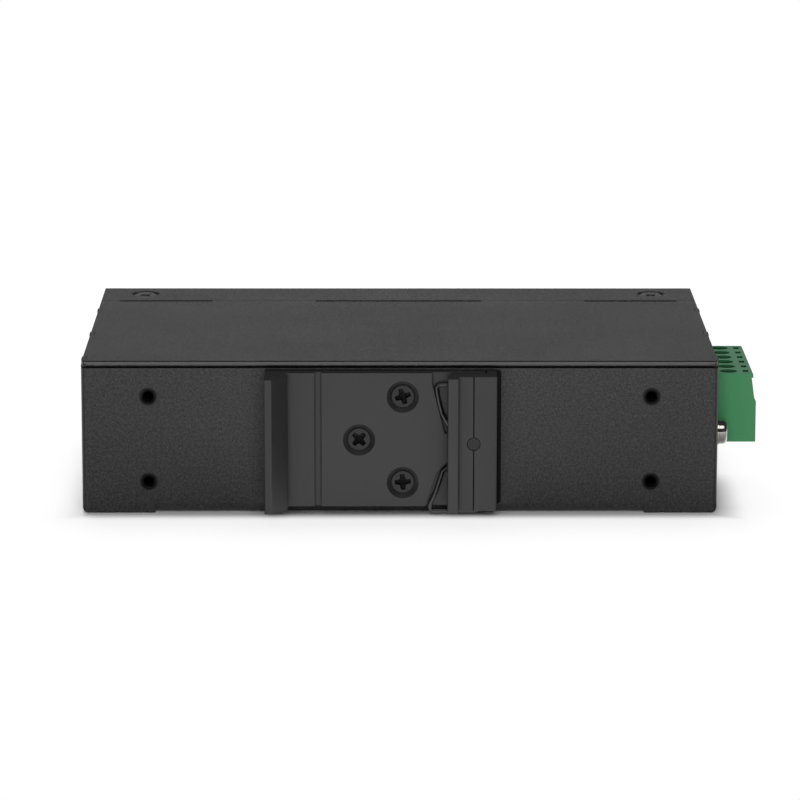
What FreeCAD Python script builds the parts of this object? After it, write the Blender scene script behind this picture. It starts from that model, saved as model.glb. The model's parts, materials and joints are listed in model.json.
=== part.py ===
import FreeCAD, Part
import math
import os
import re
import Sketcher
from FreeCAD import Placement, Rotation, Vector

# Media converter for a 35 mm rail, lying on its lower broad side.
# X runs along the casing to the terminal end, Y from the rail clip to the front panel, Z up.
# Every piece is drawn with X = 0 at the casing's middle, Y = 0 on the rear panel's outer face and
# Z = 0 on the floor. One shift then puts the origin under the middle of the whole object.

SIZES = {
    # Casing sheets
    "case_length": 135.0,
    "case_depth": 87.0,
    "case_height": 32.8,
    "sheet_thickness": 1.0,
    "bend_radius": 1.3,
    "rear_bend_radius": 2.4,
    "corner_width": 15.5,
    "cover_inset": 0.2,
    "cover_gap": 0.45,
    "cover_bevel": 0.7,
    "panel_gap": 0.1,
    # Seam between cover, tray and the front bezel's flanges
    "flange_depth": 16.2,
    "seam_gap": 0.25,
    "joggle_run": 1.4,
    "joggle_gap": 0.05,
    "joggle_slack": 0.4,
    "tab_reach": 12.6,
    "middle_tab_width": 37.4,
    "side_tab_width": 21.0,
    "side_tab_end": 14.9,
    "flange_screw_end": 9.75,
    "flange_screw_inset": 8.3,
    # Locating lugs on the end panels and their notches in the cover
    "lug_length": 3.0,
    "lug_pitch": 27.5,
    "lug_start": 2.6,
    "lug_count": 3,
    "lug_gap": 0.1,
    # Flat-head screws, pan-head screws and press nuts
    "thread_radius": 1.5,
    "thread_room": 0.15,
    "flat_head_radius": 2.8,
    "clip_head_radius": 2.4,
    "flat_head_rim": 0.2,
    "flat_screw_length": 7.0,
    "head_sink": 0.1,
    "pan_head_radius": 2.75,
    "pan_head_height": 1.9,
    "pan_dome": 0.7,
    "pan_screw_length": 8.0,
    "recess_span": 3.2,
    "recess_width": 0.85,
    "recess_depth": 1.1,
    "nut_radius": 3.1,
    "nut_height": 2.2,
    # Wall-mount holes in the rear panel
    "wall_hole_end": 14.2,
    "wall_hole_rise": 18.4,
    "wall_hole_drop": 0.4,
    "tapped_radius": 1.25,
    "tapped_mouth": 0.4,
    # Rail clip: base extrusion
    "clip_x": -28.5,
    "clip_rise": 0.2,
    "clip_margin": 2.0,
    "hook_height": 11.1,
    "hook_lip": 1.5,
    "hook_reach": 4.8,
    "hook_wall": 4.2,
    "hook_tip_top": 7.0,
    "rail_slot_top": 5.6,
    "seat_height": 3.5,
    "groove_place": 10.45,
    "groove_width": 1.45,
    "groove_depth": 1.0,
    "web_length": 38.9,
    "foot_space": 40.7,
    "tongue_length": 46.5,
    "tongue_top": 2.4,
    "tongue_thickness": 1.1,
    "stop_width": 0.8,
    "stop_height": 0.9,
    "stop_notch": 8.4,
    "clip_screw_x": 29.1,
    "clip_screw_step": 9.25,
    "countersink_radius": 3.4,
    # Rail clip: sliding jaw, pin and wire spring
    "jaw_x": 10.0,
    "jaw_length": 10.4,
    "jaw_lip": 2.3,
    "jaw_lip_height": 10.2,
    "jaw_height": 7.7,
    "jaw_undercut": 0.6,
    "jaw_wall": 2.0,
    "jaw_foot": 7.4,
    "jaw_heel": 1.0,
    "heel_round": 0.8,
    "jaw_play": 0.25,
    "jaw_edge": 0.25,
    "score_place": 5.5,
    "score_width": 0.25,
    "score_depth": 0.3,
    "pin_radius": 1.3,
    "pin_fit": 0.12,
    "wire_radius": 0.5,
    "wire_gap": 0.1,
    "wire_headroom": 0.3,
    "wire_bend": 1.0,
    "upper_knee_x": 10.4,
    "upper_knee_rise": 2.3,
    "upper_tip_x": 7.75,
    "upper_run_rise": 12.0,
    "lower_knee_x": 8.75,
    "lower_knee_drop": 7.5,
    "lower_tip_x": 6.3,
    "lower_run_drop": 15.4,
    "wire_end_leg": 2.6,
    "wire_room": 0.95,
    # Earth screw on the terminal end
    "ground_y": 6.0,
    "ground_rise": 3.7,
    "washer_radius": 2.95,
    "washer_height": 0.5,
    # Board and what holds it
    "plug_top_gap": 3.5,
    "board_thickness": 1.6,
    "board_end_gap": 2.2,
    "board_rear_gap": 6.0,
    "board_front_gap": 1.4,
    "standoff_radius": 2.8,
    "standoff_inset": 16.3,
    "standoff_rear": 14.0,
    "standoff_step": 50.0,
    # Terminal plug and header
    "pole_count": 6,
    "pole_pitch": 5.08,
    "plug_y": 9.6,
    "plug_rise": 0.55,
    "plug_height": 14.95,
    "plug_reach": 8.74,
    "plug_root": 1.0,
    "plug_lip_drop": 1.0,
    "plug_lip_reach": 8.1,
    "plug_neck_reach": 7.77,
    "plug_step_level": 8.75,
    "plug_step": 0.26,
    "plug_top_round": 0.35,
    "key_length": 7.9,
    "key_height": 6.1,
    "key_rise": 0.85,
    "socket_width": 2.2,
    "wire_door_width": 4.0,
    "wire_door_height": 5.0,
    "wire_door_rise": 1.0,
    "wire_door_depth": 8.0,
    "screw_well_radius": 1.85,
    "screw_well_x": 2.95,
    "probe_length": 1.17,
    "probe_width": 2.2,
    "probe_x": 6.6,
    "probe_depth": 4.0,
    "clamp_gap": 0.15,
    "clamp_wall": 0.6,
    "clamp_length": 4.4,
    "clamp_screw_radius": 1.1,
    "clamp_screw_top": 9.2,
    "clamp_slot": 0.6,
    "header_length": 10.4,
    "header_height": 8.8,
    "header_wall": 1.0,
    "header_gap": 0.3,
    "opening_gap": 0.35,
    "pin_size": 1.0,
    "pin_reach": 6.4,
    "pin_back": 2.2,
    "pin_tail": 1.8,
    # Network socket
    "rj45_x": -25.0,
    "rj45_width": 16.0,
    "rj45_height": 13.6,
    "rj45_depth": 21.3,
    "rj45_sheet": 0.4,
    "rj45_mouth_width": 11.9,
    "rj45_mouth_height": 7.0,
    "rj45_mouth_rise": 2.4,
    "rj45_mouth_depth": 13.5,
    "rj45_key_width": 6.2,
    "rj45_key_height": 1.7,
    "socket_gap": 0.1,
    "contact_count": 8,
    "contact_pitch": 1.02,
    "contact_width": 0.4,
    "contact_start": 2.6,
    "contact_rise": 2.4,
    # Fibre module cage
    "cage_x": 12.0,
    "cage_width": 14.6,
    "cage_height": 10.1,
    "cage_depth": 48.7,
    "cage_sheet": 0.4,
    "latch_hole": 3.4,
    "latch_hole_inset": 8.5,
    "edge_socket_width": 12.4,
    "edge_socket_height": 6.2,
    "edge_socket_length": 9.0,
    "edge_slot_height": 1.4,
    "edge_slot_width": 10.6,
    "edge_slot_depth": 6.0,
    "edge_slot_rise": 3.1,
    # Indicator row
    "led_count": 5,
    "led_pitch": 5.0,
    "led_x": 34.0,
    "led_rise": 4.6,
    "led_radius": 1.45,
    "led_hole_gap": 0.1,
    "holder_depth": 5.0,
    "holder_margin": 2.6,
    "holder_height": 7.6,
    "holder_front_gap": 5.0,
    # Parts soldered to the board
    "chip_size": 14.0,
    "chip_height": 1.4,
    "chip_x": -17.0,
    "chip_y": 26.0,
    "transformer_length": 15.2,
    "transformer_width": 7.4,
    "transformer_height": 6.0,
    "transformer_y": 54.0,
    "inductor_size": 10.2,
    "inductor_height": 5.2,
    "inductor_x": 30.0,
    "inductor_y": 18.0,
    "inductor_step": 14.0,
    "capacitor_radius": 4.0,
    "capacitor_height": 11.5,
    "capacitor_gap": 2.0,
    "capacitor_y": 12.0,
    "capacitor_step": 10.0,
    "capacitor_count": 3,
    "relay_length": 15.0,
    "relay_width": 7.4,
    "relay_height": 10.0,
    "relay_x": 43.0,
    "relay_y": 34.0,
}

# Places worked out from the sizes
HALF = "case_length / 2"
CORNER_X = "(case_length / 2 - corner_width)"
FLANGE_SCREW_X = "(case_length / 2 - flange_screw_end)"
SIDE_TAB_X = "(case_length / 2 - side_tab_end)"
WALL_HOLE_X = "(case_length / 2 - wall_hole_end)"
SEAM = "(case_depth - flange_depth)"
FLANGE_UNDER = "(case_height - sheet_thickness)"
TRAY_FRONT = "(case_depth - sheet_thickness - panel_gap)"
FLANGE_SCREW_Y = "(case_depth - flange_screw_inset)"
TAB_HOLE = "(flat_head_radius + head_sink + flat_head_rim + thread_room - sheet_thickness - joggle_gap)"
COVER_HALF = "(case_length / 2 - cover_inset)"
CLIP_WIDTH = "(case_height - 2 * clip_margin)"
CLIP_LEVEL = "(case_height / 2 + clip_rise)"
WALL_LEVEL = "(case_height / 2 - wall_hole_drop)"
PLUG_TOP = "(case_height - sheet_thickness - plug_top_gap)"
PLUG_BOTTOM = f"({PLUG_TOP} - plug_height)"
BOARD_TOP = f"({PLUG_BOTTOM} - plug_rise)"
GROUND_LEVEL = f"({BOARD_TOP} + ground_rise)"
BOARD_LEVEL = f"({BOARD_TOP} - board_thickness)"
BOARD_EDGE = "(case_length / 2 - sheet_thickness - board_end_gap)"
PLUG_WIDTH = "(pole_count * pole_pitch)"
FIRST_POLE = "(plug_y + pole_pitch / 2)"
PLUG_FRONT = "(case_length / 2 + plug_reach)"
PLUG_BACK = "(case_length / 2 - plug_root)"
KEY_BOTTOM = f"({PLUG_BOTTOM} + key_rise)"
KEY_MIDDLE = f"({PLUG_BOTTOM} + key_rise + key_height / 2)"
DOOR_BOTTOM = f"({PLUG_BOTTOM} + wire_door_rise)"
POLE_SCREW_X = "(case_length / 2 + screw_well_x)"
HEADER_FRONT = "(case_length / 2 - plug_root - header_gap)"
HEADER_BACK = "(case_length / 2 - plug_root - header_gap - header_length)"
PIN_X = "(jaw_x + score_place)"
JAW_CEILING = "(tongue_top + wire_gap + 2 * wire_radius + wire_headroom)"
JAW_FOOT_TOP = "(tongue_top - tongue_thickness - jaw_play)"

WIRE_SIDES = 8

FACING_REAR = Rotation(Vector(1, 0, 0), 90)
FACING_UP = Rotation()
FACING_DOWN = Rotation(Vector(1, 0, 0), 180)
FACING_END = Rotation(Vector(0, 1, 0), 90)

doc = FreeCAD.newDocument("media_converter")
sheet = doc.addObject("Spreadsheet::Sheet", "sizes")
for line, (alias, value) in enumerate(SIZES.items(), 1):
    sheet.set(f"A{line}", alias)
    sheet.set(f"B{line}", str(value))
    sheet.setAlias(f"B{line}", alias)
doc.recompute()

nodes = []


def size(alias):
    """Value of one named size, read back from its cell."""
    return float(sheet.get(alias))


def cells(text):
    """Expression text with each size name pointed at its spreadsheet cell."""
    return re.sub(r"[a-z][a-z0-9_]*", lambda word: "sizes." + word[0] if word[0] in SIZES else word[0], text)


def bind(thing, values):
    """Bind properties of an object to expressions in the size names."""
    for path, text in values.items():
        thing.setExpression(path, cells(str(text)))


def settle(node):
    """Shift a finished node from the casing's frame to the object's frame and list it for export."""
    bind(node, {"Placement.Base.x": "-plug_reach / 2", "Placement.Base.y": "(hook_height - case_depth) / 2"})
    nodes.append(node)
    return node


def new_body(label):
    """Empty PartDesign body whose label names the node."""
    body = doc.addObject("PartDesign::Body", label)
    body.Label = label
    return body


def origin_feature(body, role):
    """Origin plane or axis of a body by its role."""
    return next(feature for feature in body.Origin.OriginFeatures if feature.Role == role)


def rectangle(left, low, right, high):
    """Corner list of an upright rectangle."""
    return [(left, low), (right, low), (right, high), (left, high)]


def add_polygon(drawing, corners):
    """Closed outline whose corners are held at the given expressions."""
    first = drawing.GeometryCount
    count = len(corners)
    start = [Vector(math.cos(math.tau * i / count), math.sin(math.tau * i / count)) for i in range(count)]
    for i in range(count):
        drawing.addGeometry(Part.LineSegment(start[i], start[(i + 1) % count]), False)
    for i, (across, along) in enumerate(corners):
        drawing.addConstraint(Sketcher.Constraint("Coincident", first + i, 1, first + (i - 1) % count, 2))
        for kind, text in (("DistanceX", across), ("DistanceY", along)):
            number = drawing.addConstraint(Sketcher.Constraint(kind, -1, 1, first + i, 1, 1.0))
            bind(drawing, {f"Constraints[{number}]": text})


def add_circle(drawing, across, along, radius):
    """Circle whose centre and radius are held at the given expressions."""
    first = drawing.GeometryCount
    drawing.addGeometry(Part.Circle(Vector(1, 1), Vector(0, 0, 1), 1.0), False)
    for kind, text in (("DistanceX", across), ("DistanceY", along)):
        number = drawing.addConstraint(Sketcher.Constraint(kind, -1, 1, first, 3, 1.0))
        bind(drawing, {f"Constraints[{number}]": text})
    number = drawing.addConstraint(Sketcher.Constraint("Radius", first, 1.0))
    bind(drawing, {f"Constraints[{number}]": radius})


def sketch(body, name, role, polygons=(), circles=(), lift="0"):
    """Sketch on an origin plane of the body, moved along its normal by lift."""
    drawing = body.newObject("Sketcher::SketchObject", name)
    drawing.AttachmentSupport = (origin_feature(body, role), [""])
    drawing.MapMode = "FlatFace"
    bind(drawing, {"AttachmentOffset.Base.z": lift})
    for corners in polygons:
        add_polygon(drawing, corners)
    for circle in circles:
        add_circle(drawing, *circle)
    return drawing


def extrude(body, kind, name, drawing, length, both=False, back=False):
    """Pad or pocket of a sketch; both spreads it to the two sides, back turns it round."""
    feature = body.newObject("PartDesign::" + kind, name)
    feature.Profile = drawing
    feature.SideType = "Symmetric" if both else "One side"
    feature.Reversed = back
    bind(feature, {"Length": length})
    return feature


def pad(body, name, drawing, length, both=False, back=False):
    """Material added along the sketch's normal."""
    return extrude(body, "Pad", name, drawing, length, both, back)


def pocket(body, name, drawing, depth, both=False, back=False):
    """Material cut away against the sketch's normal."""
    return extrude(body, "Pocket", name, drawing, depth, both, back)


def block(body, name, across, along, up, cut=False):
    """Box between (low, high) expressions on the three axes, added or cut."""
    feature = body.newObject("PartDesign::SubtractiveBox" if cut else "PartDesign::AdditiveBox", name)
    ranges = (("Length", "x", across), ("Width", "y", along), ("Height", "z", up))
    for edge, axis, (low, high) in ranges:
        bind(feature, {edge: f"({high}) - ({low})", f"Placement.Base.{axis}": low})
    return feature


def round_bar(body, name, radius, start, length, turn=FACING_UP, cut=False):
    """Cylinder from a start point (three expressions) along the turned Z axis, added or cut."""
    feature = body.newObject("PartDesign::SubtractiveCylinder" if cut else "PartDesign::AdditiveCylinder",
                             name)
    feature.Placement = Placement(Vector(), turn)
    bind(feature, {"Radius": radius, "Height": length})
    bind(feature, {f"Placement.Base.{axis}": text for axis, text in zip("xyz", start)})
    return feature


def row(body, name, features, axis, pitch, count):
    """Features repeated at an even pitch along an axis."""
    feature = body.newObject("PartDesign::LinearPattern", name)
    feature.Originals = features
    feature.Direction = (origin_feature(body, axis), [""])
    feature.Mode = "Spacing"
    bind(feature, {"Offset": pitch, "Occurrences": count})
    body.Tip = feature
    return feature


def mirror(body, name, features, role="YZ_Plane"):
    """Features repeated on the other side of an origin plane."""
    feature = body.newObject("PartDesign::Mirrored", name)
    feature.Originals = features
    feature.MirrorPlane = (origin_feature(body, role), [""])
    body.Tip = feature
    return feature


def straight_edges(shape, axis, **at):
    """Names of the straight edges along an axis whose middles have the given coordinates."""
    direction = {"x": Vector(1, 0, 0), "y": Vector(0, 1, 0), "z": Vector(0, 0, 1)}[axis]
    names = []
    for number, edge in enumerate(shape.Edges, 1):
        middle = edge.CenterOfMass
        on_place = all(abs(getattr(middle, key) - value) < 1e-4 for key, value in at.items())
        if isinstance(edge.Curve,
                      Part.Line) and edge.Curve.Direction.cross(direction).Length < 1e-6 and on_place:
            names.append(f"Edge{number}")
    return names


def fillet(body, name, radius, *picks):
    """Rounded edges on the body's last feature; each pick is (axis, coordinates)."""
    base = body.Tip
    doc.recompute()
    feature = body.newObject("PartDesign::Fillet", name)
    feature.Base = (base, [edge for axis, at in picks for edge in straight_edges(base.Shape, axis, **at)])
    bind(feature, {"Radius": radius})
    return feature


def group(label, master, spots):
    """Node of copies of one fastener; a spot is (x, y, z, rotation)."""
    copies = []
    for number, (x, y, z, turn) in enumerate(spots, 1):
        copy = doc.addObject("App::Link", f"{label}_{number}")
        copy.LinkedObject = master
        copy.LinkPlacement = Placement(Vector(), turn)
        bind(copy, {f"LinkPlacement.Base.{axis}": text for axis, text in zip("xyz", (x, y, z))})
        copies.append(copy)
    node = doc.addObject("Part::Compound", label)
    node.Links = copies
    node.Label = label
    return settle(node)


# Fasteners, drawn once with the axis on Z and the head's top at Z = 0


def turned(name, profile):
    """Solid of revolution about Z from a half profile in X and Z."""
    body = new_body(name)
    drawing = sketch(body, name + "_profile", "XZ_Plane", [profile])
    feature = body.newObject("PartDesign::Revolution", name + "_turn")
    feature.Profile = drawing
    feature.ReferenceAxis = (drawing, ["V_Axis"])
    feature.Angle = 360
    return body


def cross_recess(body, name):
    """Cross-shaped driver recess sunk into the head's top."""
    arm = "recess_span / 2"
    half = "recess_width / 2"
    corners = [(arm, f"-{half}"), (arm, half), (half, half), (half, arm), (f"-{half}", arm),
               (f"-{half}", half),
               (f"-{arm}", half), (f"-{arm}", f"-{half}"), (f"-{half}", f"-{half}"), (f"-{half}", f"-{arm}"),
               (half, f"-{arm}"), (half, f"-{half}")]
    pocket(body, name, sketch(body, name + "_outline", "XY_Plane", [corners]), "recess_depth")


def flat_screw(name, head):
    """Countersunk screw with a given head radius: thin rim, 90 degree cone and shank."""
    body = turned(name, [
        ("0", "0"), (head, "0"), (head, "-flat_head_rim"),
        ("thread_radius", f"-(flat_head_rim + {head} - thread_radius)"),
        ("thread_radius", "-flat_screw_length"), ("0", "-flat_screw_length")])
    cross_recess(body, name + "_recess")
    return body


def pan_screw():
    """Pan-head screw: the head stands above its seat at minus the head height."""
    body = turned("pan_screw", [
        ("0", "0"), ("pan_head_radius - pan_dome", "0"), ("pan_head_radius - pan_dome / 3", "-pan_dome / 3"),
        ("pan_head_radius", "-pan_dome"), ("pan_head_radius", "-pan_head_height"),
        ("thread_radius", "-pan_head_height"), ("thread_radius", "-pan_head_height - pan_screw_length"),
        ("0", "-pan_head_height - pan_screw_length")])
    cross_recess(body, "pan_recess")
    return body


def hex_tube(name, radius, length, bore):
    """Hexagonal bush from Z = 0 downwards with a round bore."""
    body = new_body(name)
    prism = body.newObject("PartDesign::AdditivePrism", name + "_prism")
    prism.Polygon = 6
    bind(prism, {"Circumradius": radius, "Height": length, "Placement.Base.z": f"-({length})"})
    round_bar(body, name + "_bore", bore, ("0", "0", f"-({length})"), length, cut=True)
    return body


def press_nut():
    """Press nut with its seat at Z = 0 and its body below."""
    return hex_tube("press_nut", "nut_radius", "nut_height", "thread_radius + thread_room")


def tapped_nut():
    """Press nut whose bore lines up with a tapped hole in the sheet before it."""
    return hex_tube("tapped_nut", "nut_radius", "nut_height", "tapped_radius")


def hex_screw():
    """Hexagon-head screw for the board."""
    body = new_body("hex_screw")
    head = body.newObject("PartDesign::AdditivePrism", "hex_screw_head")
    head.Polygon = 6
    bind(head, {"Circumradius": "pan_head_radius", "Height": "pan_head_height",
                "Placement.Base.z": "-pan_head_height"})
    round_bar(body, "hex_screw_shank", "thread_radius", ("0", "0", "-pan_head_height - pan_screw_length"),
              "pan_screw_length")
    return body


# Casing


def joggled_tabs(body, level):
    """Three tabs that step in by one sheet and reach under the bezel's flange.

    level turns a height above the outer face into a Z expression, so that the tray and the cover
    share the same profile.
    """
    step = "sheet_thickness + joggle_gap"
    start = f"{SEAM} - seam_gap - joggle_run"
    end = f"{SEAM} - seam_gap"
    tip = f"{SEAM} + tab_reach"
    profile = [
        (f"{start} - 2 * sheet_thickness", level("0")), (start, level("0")), (end, level(step)),
        (tip, level(step)),
        (tip, level(f"{step} + sheet_thickness")), (f"{end} - joggle_slack",
                                                    level(f"{step} + sheet_thickness")),
        (f"{start} - joggle_slack", level("sheet_thickness")),
        (f"{start} - 2 * sheet_thickness", level("sheet_thickness"))]
    plate = (level("0"), level("sheet_thickness"))
    low, high = plate if plate[0] == "0" else plate[::-1]
    prefix = body.Name
    middle = ("-middle_tab_width / 2", "middle_tab_width / 2")
    side = (f"{SIDE_TAB_X} - side_tab_width / 2", f"{SIDE_TAB_X} + side_tab_width / 2")
    block(body, prefix + "_middle_notch", middle, (start, SEAM), (low, high), cut=True)
    side_notch = block(body, prefix + "_side_notch", side, (start, SEAM), (low, high), cut=True)
    mirror(body, prefix + "_side_notches", [side_notch])
    pad(body, prefix + "_middle_tab", sketch(body, prefix + "_middle_joggle", "YZ_Plane", [profile]),
        "middle_tab_width", both=True)
    side_tab = pad(body, prefix + "_side_tab",
                   sketch(body, prefix + "_side_joggle", "YZ_Plane", [profile], lift=SIDE_TAB_X),
                   "side_tab_width", both=True)
    hole_plan = sketch(body, prefix + "_tab_hole_plan", "XY_Plane", circles=[
        (FLANGE_SCREW_X, FLANGE_SCREW_Y, TAB_HOLE)],
        lift=level(f"{step} + sheet_thickness / 2"))
    hole = pocket(body, prefix + "_tab_hole", hole_plan, "2 * sheet_thickness", both=True)
    mirror(body, prefix + "_side_tabs", [side_tab, hole])


def base_tray():
    """Lower plate, rear panel and both end panels, folded from one sheet."""
    body = new_body("base_tray")
    plate_front = f"{SEAM} - seam_gap"
    rear_top = f"{FLANGE_UNDER} - cover_gap"
    fold = [("0", "0"), (plate_front, "0"), (plate_front, "sheet_thickness"),
            ("sheet_thickness", "sheet_thickness"),
            ("sheet_thickness", rear_top), ("0", rear_top)]
    pad(body, "tray_fold", sketch(body, "tray_fold_profile", "YZ_Plane", [fold]), f"2 * {CORNER_X}",
        both=True)
    fillet(body, "tray_fold_outside", "rear_bend_radius", ("x", {"y": 0, "z": 0}))
    fillet(body, "tray_fold_inside", "rear_bend_radius - sheet_thickness",
           ("x", {"y": size("sheet_thickness"), "z": size("sheet_thickness")}))
    for side, back in (("right", False), ("left", True)):
        sign = "-" if back else ""
        drawing = sketch(body, f"tray_{side}_profile", "YZ_Plane",
                         [rectangle("0", "0", TRAY_FRONT, FLANGE_UNDER)],
                         lift=sign + CORNER_X)
        pad(body, f"tray_{side}_end", drawing, "corner_width", back=back)
    half = size("case_length") / 2
    fillet(body, "tray_corners", "bend_radius",
           ("z", {"x": half, "y": 0}), ("z", {"x": -half, "y": 0}),
           ("y", {"x": half, "z": 0}), ("y", {"x": -half, "z": 0}))
    inner = f"{HALF} - sheet_thickness"
    end_room = block(body, "tray_end_room", (f"{CORNER_X} - sheet_thickness", inner),
                     ("sheet_thickness", TRAY_FRONT), ("sheet_thickness", FLANGE_UNDER), cut=True)
    flange_room = block(body, "tray_flange_room", (f"{CORNER_X} - sheet_thickness", HALF),
                        (plate_front, TRAY_FRONT), ("0", "sheet_thickness + joggle_gap"), cut=True)
    rear_edge = block(body, "tray_rear_edge", (CORNER_X, HALF),
                      ("0", "sheet_thickness"), (rear_top, FLANGE_UNDER), cut=True)
    mirror(body, "tray_end_rooms", [end_room, flange_room, rear_edge])
    lug = block(body, "tray_lug", (inner, HALF), ("lug_start", "lug_start + lug_length"),
                (f"{FLANGE_UNDER} - sheet_thickness", "case_height"))
    lugs = row(body, "tray_lug_row", [lug], "Y_Axis", "lug_pitch", "lug_count")
    other_lug = block(body, "tray_other_lug", (f"-{HALF}", f"-{HALF} + sheet_thickness"),
                      ("lug_start", "lug_start + lug_length"), (f"{FLANGE_UNDER} - sheet_thickness",
                                                                "case_height"))
    row(body, "tray_other_lug_row", [other_lug], "Y_Axis", "lug_pitch", "lug_count")
    joggled_tabs(body, lambda height: height)
    low_hole = f"{WALL_LEVEL} - wall_hole_rise / 2"
    wall_holes = [(f"{sign} * {WALL_HOLE_X}", f"{low_hole} + {step} * wall_hole_rise",
                   "tapped_radius")
                  for sign in (-1, 1) for step in (0, 1)]
    clip_holes = [(x, z, "thread_radius + thread_room") for x, z in clip_screw_spots()]
    pocket(body, "tray_rear_holes", sketch(body, "tray_rear_hole_plan", "XZ_Plane",
                                           circles=wall_holes + clip_holes),
           "sheet_thickness")
    mouths = []
    for name, step in (("lower", 0), ("upper", 1)):
        mouth = body.newObject("PartDesign::SubtractiveCone", f"tray_{name}_mouth")
        mouth.Placement = Placement(Vector(), FACING_REAR)
        bind(mouth, {"Radius1": "tapped_radius", "Radius2": "tapped_radius + tapped_mouth",
                     "Height": "tapped_mouth", "Placement.Base.x": WALL_HOLE_X,
                     "Placement.Base.y": "tapped_mouth",
                     "Placement.Base.z": f"{low_hole} + {step} * wall_hole_rise"})
        mouths.append(mouth)
    mirror(body, "tray_hole_mouths", mouths)
    plug_hole = rectangle("plug_y - opening_gap", f"{PLUG_BOTTOM} - opening_gap",
                          f"plug_y + {PLUG_WIDTH} + opening_gap", f"{PLUG_TOP} + opening_gap")
    end_plan = sketch(body, "tray_end_hole_plan", "YZ_Plane", [plug_hole],
                      [("ground_y", GROUND_LEVEL, "thread_radius + thread_room")], lift=HALF)
    pocket(body, "tray_end_holes", end_plan, "sheet_thickness")
    return settle(body)


def top_cover():
    """Upper plate with a bevelled rear edge, notches for the tray's lugs and joggled tabs at the front."""
    body = new_body("top_cover")
    front = f"{SEAM} - seam_gap"
    profile = [("0", FLANGE_UNDER), (front, FLANGE_UNDER), (front, "case_height"),
               ("cover_bevel", "case_height"), ("0", "case_height - cover_bevel")]
    pad(body, "cover_plate", sketch(body, "cover_profile", "YZ_Plane", [profile]), f"2 * {COVER_HALF}",
        both=True)
    edge = size("case_length") / 2 - size("cover_inset")
    fillet(body, "cover_corners", "bend_radius", ("z", {"x": edge, "y": 0}), ("z", {"x": -edge, "y": 0}))
    notch = block(body, "cover_notch", (f"{HALF} - sheet_thickness - lug_gap", HALF),
                  ("lug_start - lug_gap", "lug_start + lug_length + lug_gap"),
                  (FLANGE_UNDER, "case_height"), cut=True)
    row(body, "cover_notch_row", [notch], "Y_Axis", "lug_pitch", "lug_count")
    other = block(body, "cover_other_notch", (f"-{HALF}", f"-{HALF} + sheet_thickness + lug_gap"),
                  ("lug_start - lug_gap", "lug_start + lug_length + lug_gap"),
                  (FLANGE_UNDER, "case_height"), cut=True)
    row(body, "cover_other_notch_row", [other], "Y_Axis", "lug_pitch", "lug_count")
    joggled_tabs(body, lambda height: f"case_height - ({height})")
    return settle(body)


def front_bezel():
    """Front panel with an upper and a lower flange, folded from one sheet."""
    body = new_body("front_bezel")
    inside = "case_depth - sheet_thickness"
    profile = [(SEAM, "0"), ("case_depth", "0"), ("case_depth", "case_height"), (SEAM, "case_height"),
               (SEAM, FLANGE_UNDER), (inside, FLANGE_UNDER), (inside, "sheet_thickness"),
               (SEAM, "sheet_thickness")]
    pad(body, "bezel_fold", sketch(body, "bezel_profile", "YZ_Plane", [profile]), f"2 * {COVER_HALF}",
        both=True)
    front = size("case_depth")
    fillet(body, "bezel_bends", "bend_radius",
           ("x", {"y": front, "z": 0}), ("x", {"y": front, "z": size("case_height")}))
    for side, face, turn in (("upper", "case_height", FACING_DOWN), ("lower", "0", FACING_UP)):
        sink = body.newObject("PartDesign::SubtractiveCone", f"bezel_{side}_sink")
        sink.Placement = Placement(Vector(), turn)
        widest = "flat_head_radius + head_sink + flat_head_rim + thread_room"
        bind(sink, {"Radius1": widest, "Radius2": f"{widest} - sheet_thickness", "Height": "sheet_thickness",
                    "Placement.Base.x": FLANGE_SCREW_X, "Placement.Base.y": FLANGE_SCREW_Y,
                    "Placement.Base.z": face})
        mirror(body, f"bezel_{side}_sinks", [sink])
    socket = rectangle("rj45_x - rj45_width / 2 - socket_gap", f"{BOARD_TOP} - socket_gap",
                       "rj45_x + rj45_width / 2 + socket_gap", f"{BOARD_TOP} + rj45_height + socket_gap")
    cage = rectangle("cage_x - cage_width / 2 - socket_gap", f"{BOARD_TOP} - socket_gap",
                     "cage_x + cage_width / 2 + socket_gap", f"{BOARD_TOP} + cage_height + socket_gap")
    ports = sketch(body, "bezel_port_plan", "XZ_Plane", [socket, cage], lift="-case_depth")
    pocket(body, "bezel_ports", ports, "sheet_thickness", back=True)
    lamp = sketch(body, "bezel_lamp_plan", "XZ_Plane", circles=[
        ("led_x", f"{BOARD_TOP} + led_rise", "led_radius + led_hole_gap")], lift="-case_depth")
    lamp_hole = pocket(body, "bezel_lamp_hole", lamp, "sheet_thickness", back=True)
    row(body, "bezel_lamp_holes", [lamp_hole], "X_Axis", "led_pitch", "led_count")
    return settle(body)


def bezel_fasteners(screw, nut):
    """Four flat-head screws through the flanges and the press nuts under the joggled tabs."""
    seat = "2 * sheet_thickness + joggle_gap"
    places = [f"{sign} * {FLANGE_SCREW_X}" for sign in (-1, 1)]
    group("bezel_screws", screw,
          [(x, FLANGE_SCREW_Y, "case_height - head_sink", Rotation(Vector(0, 0, 1), 40)) for x in places]
          + [(x, FLANGE_SCREW_Y, "head_sink", FACING_DOWN) for x in places])
    group("bezel_nuts", nut, [(x, FLANGE_SCREW_Y, f"case_height - ({seat})", FACING_UP) for x in places]
          + [(x, FLANGE_SCREW_Y, seat, FACING_DOWN) for x in places])


# Rail clip


def clip_screw_spots():
    """X and Z of the clip's three screws: two in one column and one between them."""
    column = "clip_x + clip_screw_x"
    return [(column, f"{CLIP_LEVEL} + clip_screw_step"), (f"{column} - clip_screw_step", CLIP_LEVEL),
            (column, f"{CLIP_LEVEL} - clip_screw_step")]


def off_panel(points):
    """Profile points (X, height off the rear panel) as corners in X and Y."""
    return [(x, f"-({height})") for x, height in points]


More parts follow.
